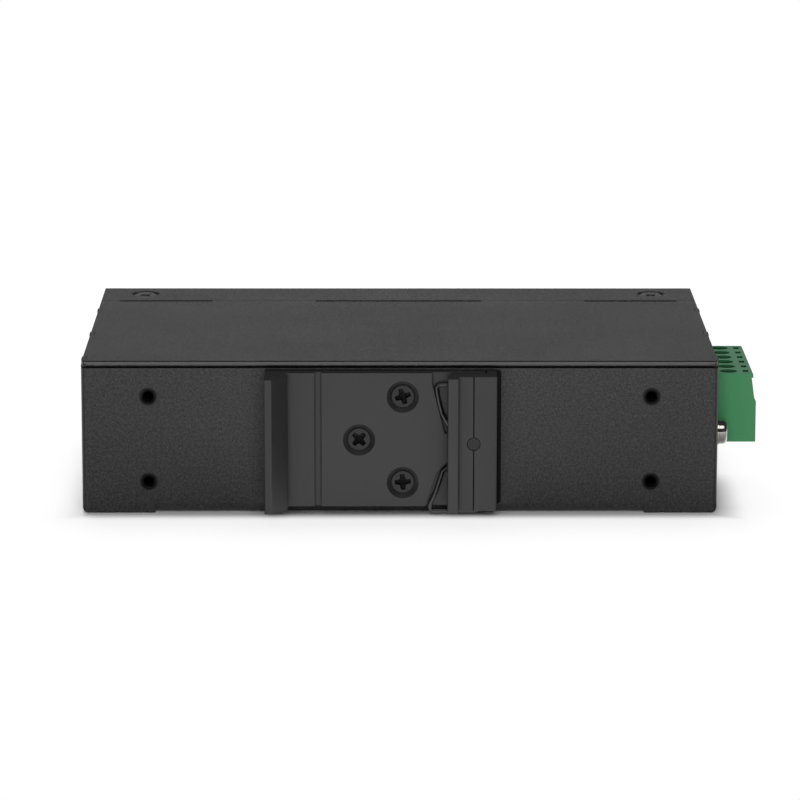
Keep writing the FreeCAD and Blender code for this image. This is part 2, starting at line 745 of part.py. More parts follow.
def clip_base():
    """Extruded base: fixed hook, rail seat, screwed web and the tongue that the jaw runs on.

    The web is cut back to the tongue's level round both loops of the wire spring.
    """
    body = new_body("clip_base")
    under = "tongue_top - tongue_thickness"
    stop = "tongue_top + stop_height"
    profile = [
        ("0", "0"), ("0", "hook_height"), ("hook_lip", "hook_height"), ("hook_reach", "hook_tip_top"),
        ("hook_reach", "rail_slot_top"), ("hook_wall", "rail_slot_top"), ("hook_wall", "seat_height"),
        ("groove_place", "seat_height"), ("groove_place", "seat_height - groove_depth"),
        ("groove_place + groove_width", "seat_height - groove_depth"), ("groove_place + groove_width",
                                                                        "seat_height"),
        ("web_length", "seat_height"), ("web_length", "tongue_top"), ("tongue_length - stop_width",
                                                                      "tongue_top"),
        ("tongue_length - stop_width", stop), ("tongue_length", stop), ("tongue_length", under),
        ("foot_space", under), ("foot_space", "0")]
    placed = off_panel([(f"clip_x + {x}", height) for x, height in profile])
    plan = sketch(body, "clip_base_profile", "XY_Plane", [placed], lift=CLIP_LEVEL)
    pad(body, "clip_base_extrusion", plan, CLIP_WIDTH, both=True)
    left = size("clip_x")
    fillet(body, "clip_base_lip_edges", "jaw_edge",
           ("z", {"x": left, "y": -size("hook_height")}),
           ("z", {"x": left + size("hook_lip"), "y": -size("hook_height")}),
           ("z", {"x": left + size("hook_reach"), "y": -size("hook_tip_top")}),
           ("z", {"x": left + size("web_length"), "y": -size("seat_height")}))
    web_end = "clip_x + web_length"
    upper_end, lower_end = f"{CLIP_LEVEL} + {CLIP_WIDTH} / 2", f"{CLIP_LEVEL} - {CLIP_WIDTH} / 2"
    upper_bend = f"{CLIP_LEVEL} + upper_knee_rise - wire_room"
    lower_bend = f"{CLIP_LEVEL} - lower_knee_drop + wire_room / 2"
    upper_room = [("upper_tip_x - wire_room", upper_end),
                  ("upper_tip_x - wire_room", f"{CLIP_LEVEL} + upper_run_rise"),
                  ("upper_knee_x - wire_room", upper_bend), (web_end, upper_bend), (web_end, upper_end)]
    lower_room = [("lower_tip_x - wire_room", lower_end), (web_end, lower_end),
                  (web_end, f"{lower_bend} + {web_end} - lower_knee_x + wire_room"),
                  ("lower_knee_x - wire_room", lower_bend)]
    pocket(body, "clip_base_wire_rooms", sketch(body, "clip_base_wire_plan", "XZ_Plane",
                                                [upper_room, lower_room], lift="seat_height"),
           "seat_height - tongue_top")
    block(body, "clip_base_pin_way", ("clip_x + tongue_length - stop_width", "clip_x + tongue_length"),
          (f"-({stop})", "-tongue_top"), (f"{CLIP_LEVEL} - stop_notch / 2", f"{CLIP_LEVEL} + stop_notch / 2"),
          cut=True)
    for number, (x, z) in enumerate(clip_screw_spots(), 1):
        sink = body.newObject("PartDesign::SubtractiveCone", f"clip_base_sink_{number}")
        sink.Placement = Placement(Vector(), FACING_REAR)
        narrow = "thread_radius + thread_room"
        bind(sink, {"Radius1": narrow, "Radius2": "countersink_radius",
                    "Height": f"countersink_radius - ({narrow})",
                    "Placement.Base.x": x, "Placement.Base.z": z,
                    "Placement.Base.y": f"-(seat_height - countersink_radius + {narrow})"})
        round_bar(body, f"clip_base_hole_{number}", narrow, (x, "0", z), "seat_height", FACING_REAR, cut=True)
    return settle(body)


def clip_jaw():
    """Extruded jaw: gripping lip, scored back and a foot that hooks under the base's tongue."""
    body = new_body("clip_jaw")
    inner_wall = "jaw_length - jaw_wall"
    foot_start = "jaw_length - jaw_foot"
    profile = [
        ("0", "rail_slot_top"), ("0", "jaw_lip_height"), ("jaw_lip", "jaw_lip_height"),
        ("jaw_lip", "jaw_height"),
        ("score_place - score_width / 2", "jaw_height"), ("score_place", "jaw_height - score_depth"),
        ("score_place + score_width / 2", "jaw_height"), ("jaw_length", "jaw_height"),
        ("jaw_length", JAW_FOOT_TOP),
        ("jaw_length + jaw_heel", JAW_FOOT_TOP), ("jaw_length + jaw_heel", "jaw_play"),
        (foot_start, "jaw_play"),
        (foot_start, JAW_FOOT_TOP), (inner_wall, JAW_FOOT_TOP), (inner_wall, JAW_CEILING),
        ("jaw_undercut", JAW_CEILING), ("jaw_undercut", "rail_slot_top")]
    placed = off_panel([(f"jaw_x + {x}", height) for x, height in profile])
    plan = sketch(body, "clip_jaw_profile", "XY_Plane", [placed], lift=CLIP_LEVEL)
    pad(body, "clip_jaw_extrusion", plan, CLIP_WIDTH, both=True)
    left = size("jaw_x")
    fillet(body, "clip_jaw_edges", "jaw_edge",
           ("z", {"x": left, "y": -size("jaw_lip_height")}),
           ("z", {"x": left + size("jaw_lip"), "y": -size("jaw_lip_height")}),
           ("z", {"x": left + size("jaw_length"), "y": -size("jaw_height")}))
    heel = left + size("jaw_length") + size("jaw_heel")
    middle = size("case_height") / 2 + size("clip_rise")
    reach = size("case_height") / 2 - size("clip_margin")
    fillet(body, "clip_jaw_heel_corners", "heel_round",
           ("y", {"x": heel, "z": middle + reach}), ("y", {"x": heel, "z": middle - reach}))
    round_bar(body, "clip_jaw_pin_hole", "pin_radius + pin_fit", (PIN_X, f"-({JAW_CEILING})", CLIP_LEVEL),
              "jaw_height", FACING_REAR, cut=True)
    return settle(body)


def clip_pin():
    """Pin through the jaw, flush with its back, that the wire spring pulls on."""
    body = new_body("clip_pin")
    foot = "tongue_top + wire_gap"
    round_bar(body, "clip_pin_bar", "pin_radius", (PIN_X, f"-({foot})", CLIP_LEVEL),
              f"jaw_height - ({foot})", FACING_REAR)
    return settle(body)


def rounded_path(points, radius):
    """Wire of straight runs joined by tangent arcs of one radius."""
    edges = []
    start = points[0]
    for before, corner, after in zip(points, points[1:], points[2:]):
        inward = (before - corner).normalize()
        outward = (after - corner).normalize()
        half_turn = (math.pi - inward.getAngle(outward)) / 2
        reach = radius * math.tan(half_turn)
        first, last = corner + inward * reach, corner + outward * reach
        bisector = (inward + outward).normalize()
        middle = corner + bisector * (radius / math.cos(half_turn) - radius)
        edges.append(Part.LineSegment(start, first).toShape())
        edges.append(Part.Arc(first, middle, last).toShape())
        start = last
    edges.append(Part.LineSegment(start, points[-1]).toShape())
    return Part.Wire(edges)


def clip_spring():
    """Bent wire: round the pin's far side, out to a loop above and below, back to the tongue's stop."""
    pin_x = size("jaw_x") + size("score_place")
    pin_z = size("case_height") / 2 + size("clip_rise")
    stop_x = size("clip_x") + size("tongue_length") - size("stop_width")
    thick = size("wire_radius")
    gap = size("wire_gap")
    bend = size("wire_bend")
    wrap = size("pin_radius") + gap + thick
    height = -(size("tongue_top") + gap + thick)

    def point(x, z):
        return Vector(x, height, z)

    end_x = stop_x - gap - thick
    upper_run = pin_z + size("upper_run_rise")
    lower_run = pin_z - size("lower_run_drop")
    lower_half = [point(end_x, lower_run + size("wire_end_leg")), point(end_x, lower_run),
                  point(size("lower_tip_x"), lower_run),
                  point(size("lower_knee_x"), pin_z - size("lower_knee_drop"))]
    upper_half = [point(size("upper_knee_x"), pin_z + size("upper_knee_rise")),
                  point(size("upper_tip_x"), upper_run), point(end_x, upper_run),
                  point(end_x, upper_run - size("wire_end_leg"))]
    turn = [point(pin_x, pin_z - wrap), point(pin_x + wrap, pin_z - wrap),
            point(pin_x + wrap, pin_z + wrap), point(pin_x, pin_z + wrap)]
    path = rounded_path(lower_half + turn + upper_half, bend)
    corners = [lower_half[0] + Vector(thick * math.cos(turn_by), thick * math.sin(turn_by), 0)
               for turn_by in (math.tau * side / WIRE_SIDES for side in range(WIRE_SIDES + 1))]
    section = Part.makePolygon(corners)
    node = doc.addObject("Part::Feature", "clip_spring")
    node.Label = "clip_spring"
    node.Shape = path.makePipeShell([section], True, False)
    node.Placement = Placement()
    return settle(node)


# Terminal plug and header


def terminal_plug():
    """Moulded plug: stepped wire side, screw wells on top and a keyed tongue that enters the header."""
    body = new_body("terminal_plug")
    reach = f"{HALF} + "
    profile = [
        (PLUG_BACK, PLUG_BOTTOM), (PLUG_FRONT, PLUG_BOTTOM), (PLUG_FRONT, f"{PLUG_BOTTOM} + plug_step_level"),
        (f"{PLUG_FRONT} - plug_step", f"{PLUG_BOTTOM} + plug_step_level"),
        (reach + "plug_neck_reach", f"{PLUG_TOP} - plug_lip_drop"), (reach + "plug_lip_reach",
                                                                     f"{PLUG_TOP} - plug_lip_drop"),
        (reach + "plug_lip_reach", PLUG_TOP), (PLUG_BACK, PLUG_TOP), (PLUG_BACK,
                                                                      f"{KEY_BOTTOM} + key_height"),
        (f"{PLUG_BACK} - key_length", f"{KEY_BOTTOM} + key_height"), (f"{PLUG_BACK} - key_length",
                                                                      KEY_BOTTOM),
        (PLUG_BACK, KEY_BOTTOM)]
    side = sketch(body, "plug_profile", "XZ_Plane", [profile], lift=f"-(plug_y + {PLUG_WIDTH})")
    pad(body, "plug_moulding", side, PLUG_WIDTH)
    lip_x = size("case_length") / 2 + size("plug_lip_reach")
    top_z = size("case_height") - size("sheet_thickness") - size("plug_top_gap")
    fillet(body, "plug_lip_round", "plug_top_round", ("y", {"x": lip_x, "z": top_z}))
    door = sketch(body, "plug_door_plan", "YZ_Plane", [rectangle(
        f"{FIRST_POLE} - wire_door_width / 2", DOOR_BOTTOM,
        f"{FIRST_POLE} + wire_door_width / 2", f"{DOOR_BOTTOM} + wire_door_height")], lift=PLUG_FRONT)
    well = sketch(body, "plug_well_plan", "XY_Plane",
                  circles=[(POLE_SCREW_X, FIRST_POLE, "screw_well_radius")],
                  lift=PLUG_TOP)
    probe_x = f"{HALF} + probe_x"
    probe = sketch(body, "plug_probe_plan", "XY_Plane", [rectangle(
        f"{probe_x} - probe_length / 2", f"{FIRST_POLE} - probe_width / 2",
        f"{probe_x} + probe_length / 2", f"{FIRST_POLE} + probe_width / 2")], lift=PLUG_TOP)
    contact = sketch(body, "plug_socket_plan", "YZ_Plane", [rectangle(
        f"{FIRST_POLE} - socket_width / 2", f"{KEY_MIDDLE} - socket_width / 2",
        f"{FIRST_POLE} + socket_width / 2", f"{KEY_MIDDLE} + socket_width / 2")],
        lift=f"{PLUG_BACK} - key_length")
    cuts = [
        pocket(body, "plug_door", door, "wire_door_depth"),
        pocket(body, "plug_well", well, f"{PLUG_TOP} - {DOOR_BOTTOM} - wire_door_height / 2"),
        pocket(body, "plug_probe", probe, "probe_depth"),
        pocket(body, "plug_socket", contact, "key_length", back=True)]
    row(body, "plug_poles", cuts, "Y_Axis", "pole_pitch", "pole_count")
    return settle(body)


def terminal_clamps():
    """Six clamp channels, one behind each wire door, open to the screw above."""
    body = new_body("terminal_clamps")
    half = "wire_door_width / 2 - clamp_gap"
    low = f"{DOOR_BOTTOM}"
    high = f"{DOOR_BOTTOM} + wire_door_height - clamp_gap"
    left, right = f"{FIRST_POLE} - ({half})", f"{FIRST_POLE} + ({half})"
    channel = [(left, low), (right, low), (right, high), (f"{right} - clamp_wall", high),
               (f"{right} - clamp_wall", f"{low} + clamp_wall"), (f"{left} + clamp_wall",
                                                                  f"{low} + clamp_wall"),
               (f"{left} + clamp_wall", high), (left, high)]
    section = sketch(body, "clamp_section", "YZ_Plane", [channel], lift=f"{POLE_SCREW_X} - clamp_length / 2")
    clamp = pad(body, "clamp_channel", section, "clamp_length")
    row(body, "clamp_row", [clamp], "Y_Axis", "pole_pitch", "pole_count")
    return settle(body)


def terminal_screws():
    """Six slotted clamp screws down their wells."""
    body = new_body("terminal_screws")
    top = f"{PLUG_BOTTOM} + clamp_screw_top"
    foot = f"({DOOR_BOTTOM} + wire_door_height / 2)"
    seat = f"({DOOR_BOTTOM} + wire_door_height)"
    shank = round_bar(body, "clamp_screw_shank", "clamp_screw_radius", (POLE_SCREW_X, FIRST_POLE, foot),
                      f"{seat} - {foot}")
    head = round_bar(body, "clamp_screw_head", "screw_well_radius - clamp_gap",
                     (POLE_SCREW_X, FIRST_POLE, seat),
                     f"{top} - {seat}")
    slot = block(body, "clamp_screw_slot", (f"{POLE_SCREW_X} - screw_well_radius",
                                            f"{POLE_SCREW_X} + screw_well_radius"),
                 (f"{FIRST_POLE} - clamp_slot / 2", f"{FIRST_POLE} + clamp_slot / 2"),
                 (f"{top} - clamp_slot", top), cut=True)
    row(body, "clamp_screw_row", [shank, head, slot], "Y_Axis", "pole_pitch", "pole_count")
    return settle(body)


def terminal_header():
    """Moulded header on the board, open towards the plug, with a hole for each pin."""
    body = new_body("terminal_header")
    shell = (f"plug_y", f"plug_y + {PLUG_WIDTH}")
    block(body, "header_block", (HEADER_BACK, HEADER_FRONT), shell, (BOARD_TOP,
                                                                     f"{BOARD_TOP} + header_height"))
    block(body, "header_room", (f"{HEADER_BACK} + header_wall", HEADER_FRONT), shell,
          (f"{KEY_BOTTOM} - header_gap", f"{KEY_BOTTOM} + key_height + header_gap"), cut=True)
    hole = block(body, "header_hole", (HEADER_BACK, f"{HEADER_BACK} + header_wall"),
                 (f"{FIRST_POLE} - pin_size / 2 - socket_gap", f"{FIRST_POLE} + pin_size / 2 + socket_gap"),
                 (f"{KEY_MIDDLE} - pin_size / 2 - socket_gap", f"{KEY_MIDDLE} + pin_size / 2 + socket_gap"),
                 cut=True)
    row(body, "header_holes", [hole], "Y_Axis", "pole_pitch", "pole_count")
    return settle(body)


def header_pins():
    """Six square pins, bent down through the board behind the header."""
    body = new_body("header_pins")
    tip = f"{HEADER_BACK} + pin_reach"
    back = f"{HEADER_BACK} - pin_back"
    low, high = f"{KEY_MIDDLE} - pin_size / 2", f"{KEY_MIDDLE} + pin_size / 2"
    end = f"{BOARD_LEVEL} - pin_tail"
    bend = [(tip, low), (tip, high), (back, high), (back, end), (f"{back} + pin_size", end),
            (f"{back} + pin_size", low)]
    drawing = sketch(body, "header_pin_bend", "XZ_Plane", [bend], lift=f"-({FIRST_POLE} + pin_size / 2)")
    pin = pad(body, "header_pin", drawing, "pin_size")
    row(body, "header_pin_row", [pin], "Y_Axis", "pole_pitch", "pole_count")
    return settle(body)


# Board, sockets and the parts soldered to it


def standoff_spots(level, turn):
    """The four board fixings at one level."""
    return [(f"{sign} * ({BOARD_EDGE} - standoff_inset)", f"standoff_rear + {step} * standoff_step", level,
             turn)
            for sign in (-1, 1) for step in (0, 1)]


def main_board():
    """Circuit board with screw holes and the header's pin holes."""
    body = new_body("main_board")
    plan = sketch(body, "board_plan", "XY_Plane", [rectangle(
        f"-{BOARD_EDGE}", "board_rear_gap", BOARD_EDGE, f"{TRAY_FRONT} - board_front_gap")], lift=BOARD_LEVEL)
    pad(body, "board_sheet", plan, "board_thickness")
    screws = [(x, y, "thread_radius + thread_room") for x, y, _, _ in standoff_spots("0", FACING_UP)]
    pocket(body, "board_screw_holes", sketch(body, "board_screw_plan", "XY_Plane", circles=screws,
                                             lift=BOARD_TOP),
           "board_thickness")
    pin_x = f"{HEADER_BACK} - pin_back"
    pin = sketch(body, "board_pin_plan", "XY_Plane", [rectangle(
        f"{pin_x} - socket_gap", f"{FIRST_POLE} - pin_size / 2 - socket_gap",
        f"{pin_x} + pin_size + socket_gap", f"{FIRST_POLE} + pin_size / 2 + socket_gap")], lift=BOARD_TOP)
    pin_hole = pocket(body, "board_pin_hole", pin, "board_thickness")
    row(body, "board_pin_holes", [pin_hole], "Y_Axis", "pole_pitch", "pole_count")
    return settle(body)


def board_fixings(screw):
    """Standoffs on the tray and the screws that hold the board on them."""
    pillar = hex_tube("standoff", "standoff_radius", f"{BOARD_LEVEL} - sheet_thickness",
                      "thread_radius + thread_room")
    group("board_standoffs", pillar, standoff_spots(BOARD_LEVEL, FACING_UP))
    group("board_screws", screw, standoff_spots(f"{BOARD_TOP} + pan_head_height", FACING_UP))


def rj45_socket():
    """Shielded network socket: folded shield, moulded insert and eight contact springs."""
    rear = "case_depth - rj45_depth"
    half = "rj45_width / 2"
    top = f"{BOARD_TOP} + rj45_height"
    mouth_low = f"{BOARD_TOP} + rj45_mouth_rise"
    mouth_top = f"{mouth_low} + rj45_mouth_height"
    mouth = [("rj45_x - rj45_mouth_width / 2", mouth_low), ("rj45_x + rj45_mouth_width / 2", mouth_low),
             ("rj45_x + rj45_mouth_width / 2", mouth_top), ("rj45_x + rj45_key_width / 2", mouth_top),
             ("rj45_x + rj45_key_width / 2", f"{mouth_top} + rj45_key_height"),
             ("rj45_x - rj45_key_width / 2", f"{mouth_top} + rj45_key_height"),
             ("rj45_x - rj45_key_width / 2", mouth_top), ("rj45_x - rj45_mouth_width / 2", mouth_top)]
    shield = new_body("rj45_shield")
    block(shield, "shield_block", (f"rj45_x - {half}", f"rj45_x + {half}"), (rear, "case_depth"),
          (BOARD_TOP, top))
    block(shield, "shield_room", (f"rj45_x - {half} + rj45_sheet", f"rj45_x + {half} - rj45_sheet"),
          (rear, "case_depth - rj45_sheet"), (BOARD_TOP, f"{top} - rj45_sheet"), cut=True)
    pocket(shield, "shield_mouth", sketch(shield, "shield_mouth_plan", "XZ_Plane", [mouth],
                                          lift="-case_depth"),
           "rj45_sheet", back=True)
    settle(shield)
    insert = new_body("rj45_insert")
    face = "case_depth - rj45_sheet - socket_gap"
    block(insert, "insert_block", (f"rj45_x - {half} + rj45_sheet + socket_gap",
                                   f"rj45_x + {half} - rj45_sheet - socket_gap"),
          (rear, face), (BOARD_TOP, f"{top} - rj45_sheet - socket_gap"))
    pocket(insert, "insert_mouth", sketch(insert, "insert_mouth_plan", "XZ_Plane", [mouth],
                                          lift=f"-({face})"),
           "rj45_mouth_depth", back=True)
    settle(insert)
    contacts = new_body("rj45_contacts")
    first = "rj45_x - (contact_count - 1) * contact_pitch / 2"
    deep = f"{face} - rj45_mouth_depth"
    near = f"{face} - contact_start"
    strip = [(near, mouth_low), (deep, f"{mouth_low} + contact_rise"),
             (deep, f"{mouth_low} + contact_rise + contact_width"), (f"{near} + contact_width", mouth_low)]
    drawing = sketch(contacts, "contact_strip", "YZ_Plane", [strip], lift=first)
    contact = pad(contacts, "contact_spring", drawing, "contact_width", both=True)
    row(contacts, "contact_row", [contact], "X_Axis", "contact_pitch", "contact_count")
    settle(contacts)


def sfp_port():
    """Fibre module cage, open at the panel, with the edge socket at its inner end."""
    cage = new_body("sfp_cage")
    rear = "case_depth - cage_depth"
    half = "cage_width / 2"
    inner = f"{half} - cage_sheet"
    block(cage, "cage_block", (f"cage_x - {half}", f"cage_x + {half}"), (rear, "case_depth"),
          (BOARD_TOP, f"{BOARD_TOP} + cage_height"))
    block(cage, "cage_room", (f"cage_x - ({inner})", f"cage_x + {inner}"),
          (f"{rear} + cage_sheet", "case_depth"),
          (f"{BOARD_TOP} + cage_sheet", f"{BOARD_TOP} + cage_height - cage_sheet"), cut=True)
    block(cage, "cage_latch_hole", ("cage_x - latch_hole / 2", "cage_x + latch_hole / 2"),
          ("case_depth - latch_hole_inset", "case_depth - latch_hole_inset + latch_hole"),
          (BOARD_TOP, f"{BOARD_TOP} + cage_sheet"), cut=True)
    settle(cage)
    socket = new_body("sfp_connector")
    floor = f"{BOARD_TOP} + cage_sheet"
    start = f"{rear} + cage_sheet"
    block(socket, "edge_block", ("cage_x - edge_socket_width / 2", "cage_x + edge_socket_width / 2"),
          (start, f"{start} + edge_socket_length"), (floor, f"{floor} + edge_socket_height"))
    block(socket, "edge_slot", ("cage_x - edge_slot_width / 2", "cage_x + edge_slot_width / 2"),
          (f"{start} + edge_socket_length - edge_slot_depth", f"{start} + edge_socket_length"),
          (f"{floor} + edge_slot_rise", f"{floor} + edge_slot_rise + edge_slot_height"), cut=True)
    settle(socket)


def indicators():
    """Row of round light pipes, flush with the front panel, on a holder on the board."""
    level = f"{BOARD_TOP} + led_rise"
    lamps = new_body("indicator_leds")
    lamp = round_bar(lamps, "lamp", "led_radius", ("led_x", "case_depth", level), "holder_front_gap",
                     FACING_REAR)
    row(lamps, "lamp_row", [lamp], "X_Axis", "led_pitch", "led_count")
    settle(lamps)
    holder = new_body("led_holder")
    holder_front = "case_depth - holder_front_gap"
    block(holder, "holder_block", ("led_x - holder_margin",
                                   "led_x + (led_count - 1) * led_pitch + holder_margin"),
          (f"{holder_front} - holder_depth", holder_front), (BOARD_TOP, f"{BOARD_TOP} + holder_height"))
    settle(holder)


def board_block(label, x, y, length, width, height):
    """Plain soldered part: a rectangular body on the board."""
    body = new_body(label)
    block(body, label + "_case", (f"{x} - ({length}) / 2", f"{x} + ({length}) / 2"),
          (f"{y} - ({width}) / 2", f"{y} + ({width}) / 2"), (BOARD_TOP, f"{BOARD_TOP} + {height}"))
    return body


def soldered_parts():
    """Converter chip, transformer, inductors, capacitors and the alarm relay."""
    settle(board_block("converter_chip", "chip_x", "chip_y", "chip_size", "chip_size", "chip_height"))
    settle(board_block("line_transformer", "rj45_x", "transformer_y", "transformer_length",
                       "transformer_width",
                       "transformer_height"))
    settle(board_block("alarm_relay", "relay_x", "relay_y", "relay_width", "relay_length", "relay_height"))
    coil = board_block("power_inductors", "inductor_x", "inductor_y", "inductor_size", "inductor_size",
                       "inductor_height")
    row(coil, "inductor_pair", [coil.Tip], "Y_Axis", "inductor_step", "2")
    settle(coil)
    cans = new_body("filter_capacitors")
    can = round_bar(cans, "capacitor_can", "capacitor_radius",
                    (f"cage_x - cage_width / 2 - capacitor_gap - capacitor_radius", "capacitor_y", BOARD_TOP),
                    "capacitor_height")
    row(cans, "capacitor_row", [can], "Y_Axis", "capacitor_step", "capacitor_count")
    settle(cans)


def ground_point(screw, nut):
    """Earth screw with its washer outside the end panel and a press nut inside."""
    group("ground_screw", screw, [(f"{HALF} + washer_height + pan_head_height", "ground_y", GROUND_LEVEL,
                                   FACING_END.multiply(Rotation(Vector(0, 0, 1), 30)))])
    washer = turned("earth_washer", [
        ("thread_radius + thread_room", "0"), ("washer_radius", "0"), ("washer_radius", "washer_height"),
        ("thread_radius + thread_room", "washer_height")])
    group("ground_washer", washer, [(HALF, "ground_y", GROUND_LEVEL, FACING_END)])
    group("ground_nut", nut, [(f"{HALF} - sheet_thickness", "ground_y", GROUND_LEVEL, FACING_END)])


def clip_fasteners(screw, nut):
    """Three countersunk screws, each stopped at its own angle, with press nuts inside the rear panel."""
    head = "(clip_head_radius + flat_head_rim + thread_room)"
    sunk = f"-(seat_height - countersink_radius + {head})"
    turns = [FACING_REAR.multiply(Rotation(Vector(0, 0, 1), angle)) for angle in (18, 45, 4)]
    group("clip_screws", screw, [(x, sunk, z, turn) for (x, z), turn in zip(clip_screw_spots(), turns)])
    group("clip_nuts", nut, [(x, "sheet_thickness", z, FACING_REAR) for x, z in clip_screw_spots()])


def wall_fasteners(nut):
    """Tapped press nuts behind the rear panel for a wall plate."""
    level = f"{WALL_LEVEL} - wall_hole_rise / 2"
    group("wall_mount_nuts", nut, [(f"{sign} * {WALL_HOLE_X}", "sheet_thickness",
                                    f"{level} + {step} * wall_hole_rise", FACING_REAR)
                                   for sign in (-1, 1) for step in (0, 1)])


flange_screw = flat_screw("flange_screw", "flat_head_radius")
web_screw = flat_screw("web_screw", "clip_head_radius")
pan = pan_screw()
plain_nut = press_nut()
tapped = tapped_nut()
base_tray()
top_cover()
front_bezel()
bezel_fasteners(flange_screw, plain_nut)
wall_fasteners(tapped)
clip_base()
clip_jaw()
clip_pin()
clip_spring()
clip_fasteners(web_screw, plain_nut)
ground_point(pan, plain_nut)
terminal_plug()
terminal_screws()
terminal_clamps()
terminal_header()
header_pins()
main_board()
board_fixings(hex_screw())
rj45_socket()
sfp_port()
indicators()
soldered_parts()
doc.recompute()

failed = [thing.Name for thing in doc.Objects if "Invalid" in thing.State or "Error" in thing.State]
if failed:
    raise RuntimeError(f"features failed: {failed}")
for thing in doc.Objects:
    if thing.isDerivedFrom("PartDesign::Pocket") and thing.BaseFeature:
        if thing.Shape.Volume > thing.BaseFeature.Shape.Volume - 1e-6:
            raise RuntimeError(f"{thing.Name} cuts nothing")
for node in nodes:
    if node.Shape.isNull() or not node.Shape.isValid() or not node.Shape.Solids:
        raise RuntimeError(f"{node.Label} is not a valid solid")

os.makedirs("parts", exist_ok=True)
for node in nodes:
    node.Shape.exportStep(os.path.join("parts", node.Label + ".step"))
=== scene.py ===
import json
import math

import bpy
import numpy as np
from mathutils import Matrix, Vector


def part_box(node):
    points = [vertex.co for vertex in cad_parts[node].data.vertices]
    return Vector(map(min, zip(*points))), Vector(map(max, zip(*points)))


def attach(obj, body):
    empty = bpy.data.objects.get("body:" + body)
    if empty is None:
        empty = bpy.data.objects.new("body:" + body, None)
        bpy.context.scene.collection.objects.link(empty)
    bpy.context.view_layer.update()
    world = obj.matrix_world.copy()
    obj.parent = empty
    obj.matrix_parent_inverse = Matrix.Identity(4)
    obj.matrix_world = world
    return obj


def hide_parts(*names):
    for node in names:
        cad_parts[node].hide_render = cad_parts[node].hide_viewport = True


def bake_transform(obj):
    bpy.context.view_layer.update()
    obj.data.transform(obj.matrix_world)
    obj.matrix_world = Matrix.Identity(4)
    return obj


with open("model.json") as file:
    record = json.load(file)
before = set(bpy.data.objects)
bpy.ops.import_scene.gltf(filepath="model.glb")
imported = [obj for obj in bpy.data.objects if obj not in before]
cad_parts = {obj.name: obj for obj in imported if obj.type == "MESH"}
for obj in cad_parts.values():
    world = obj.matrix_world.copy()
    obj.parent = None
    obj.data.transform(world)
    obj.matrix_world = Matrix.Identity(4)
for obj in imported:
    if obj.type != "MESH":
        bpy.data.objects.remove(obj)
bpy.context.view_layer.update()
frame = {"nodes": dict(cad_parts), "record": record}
MM = 0.001
TAU = 2 * math.pi

# The casing's own frame: X = 0 at its middle, Y = 0 on the rear panel, Z = 0 on the floor
tray_low, tray_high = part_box("base_tray")
ORIGIN = np.array([(tray_low[0] + tray_high[0]) / 2, tray_low[1], 0.0])
MIDDLE_X, REAR_Y = float(ORIGIN[0]), float(ORIGIN[1])


# Shader arithmetic


class Value:
    """A shader output that takes part in Python arithmetic."""

    def __init__(self, finish, socket):
        self.finish = finish
        self.socket = socket

    def _with(self, operation, *terms):
        return self.finish.node("ShaderNodeMath", {"operation": operation}, dict(enumerate(terms)))

    def __add__(self, other):
        return self._with("ADD", self, other)

    def __sub__(self, other):
        return self._with("SUBTRACT", self, other)

    def __rsub__(self, other):
        return self._with("SUBTRACT", other, self)

    def __mul__(self, other):
        return self._with("MULTIPLY", self, other)

    def __abs__(self):
        return self._with("ABSOLUTE", self)

    __radd__ = __add__
    __rmul__ = __mul__

    def at_least(self, floor):
        """The larger of this value and a floor."""
        return self._with("MAXIMUM", self, floor)

    def clamp(self):
        """This value held between 0 and 1."""
        return self.finish.node("ShaderNodeClamp", {}, {"Value": self})


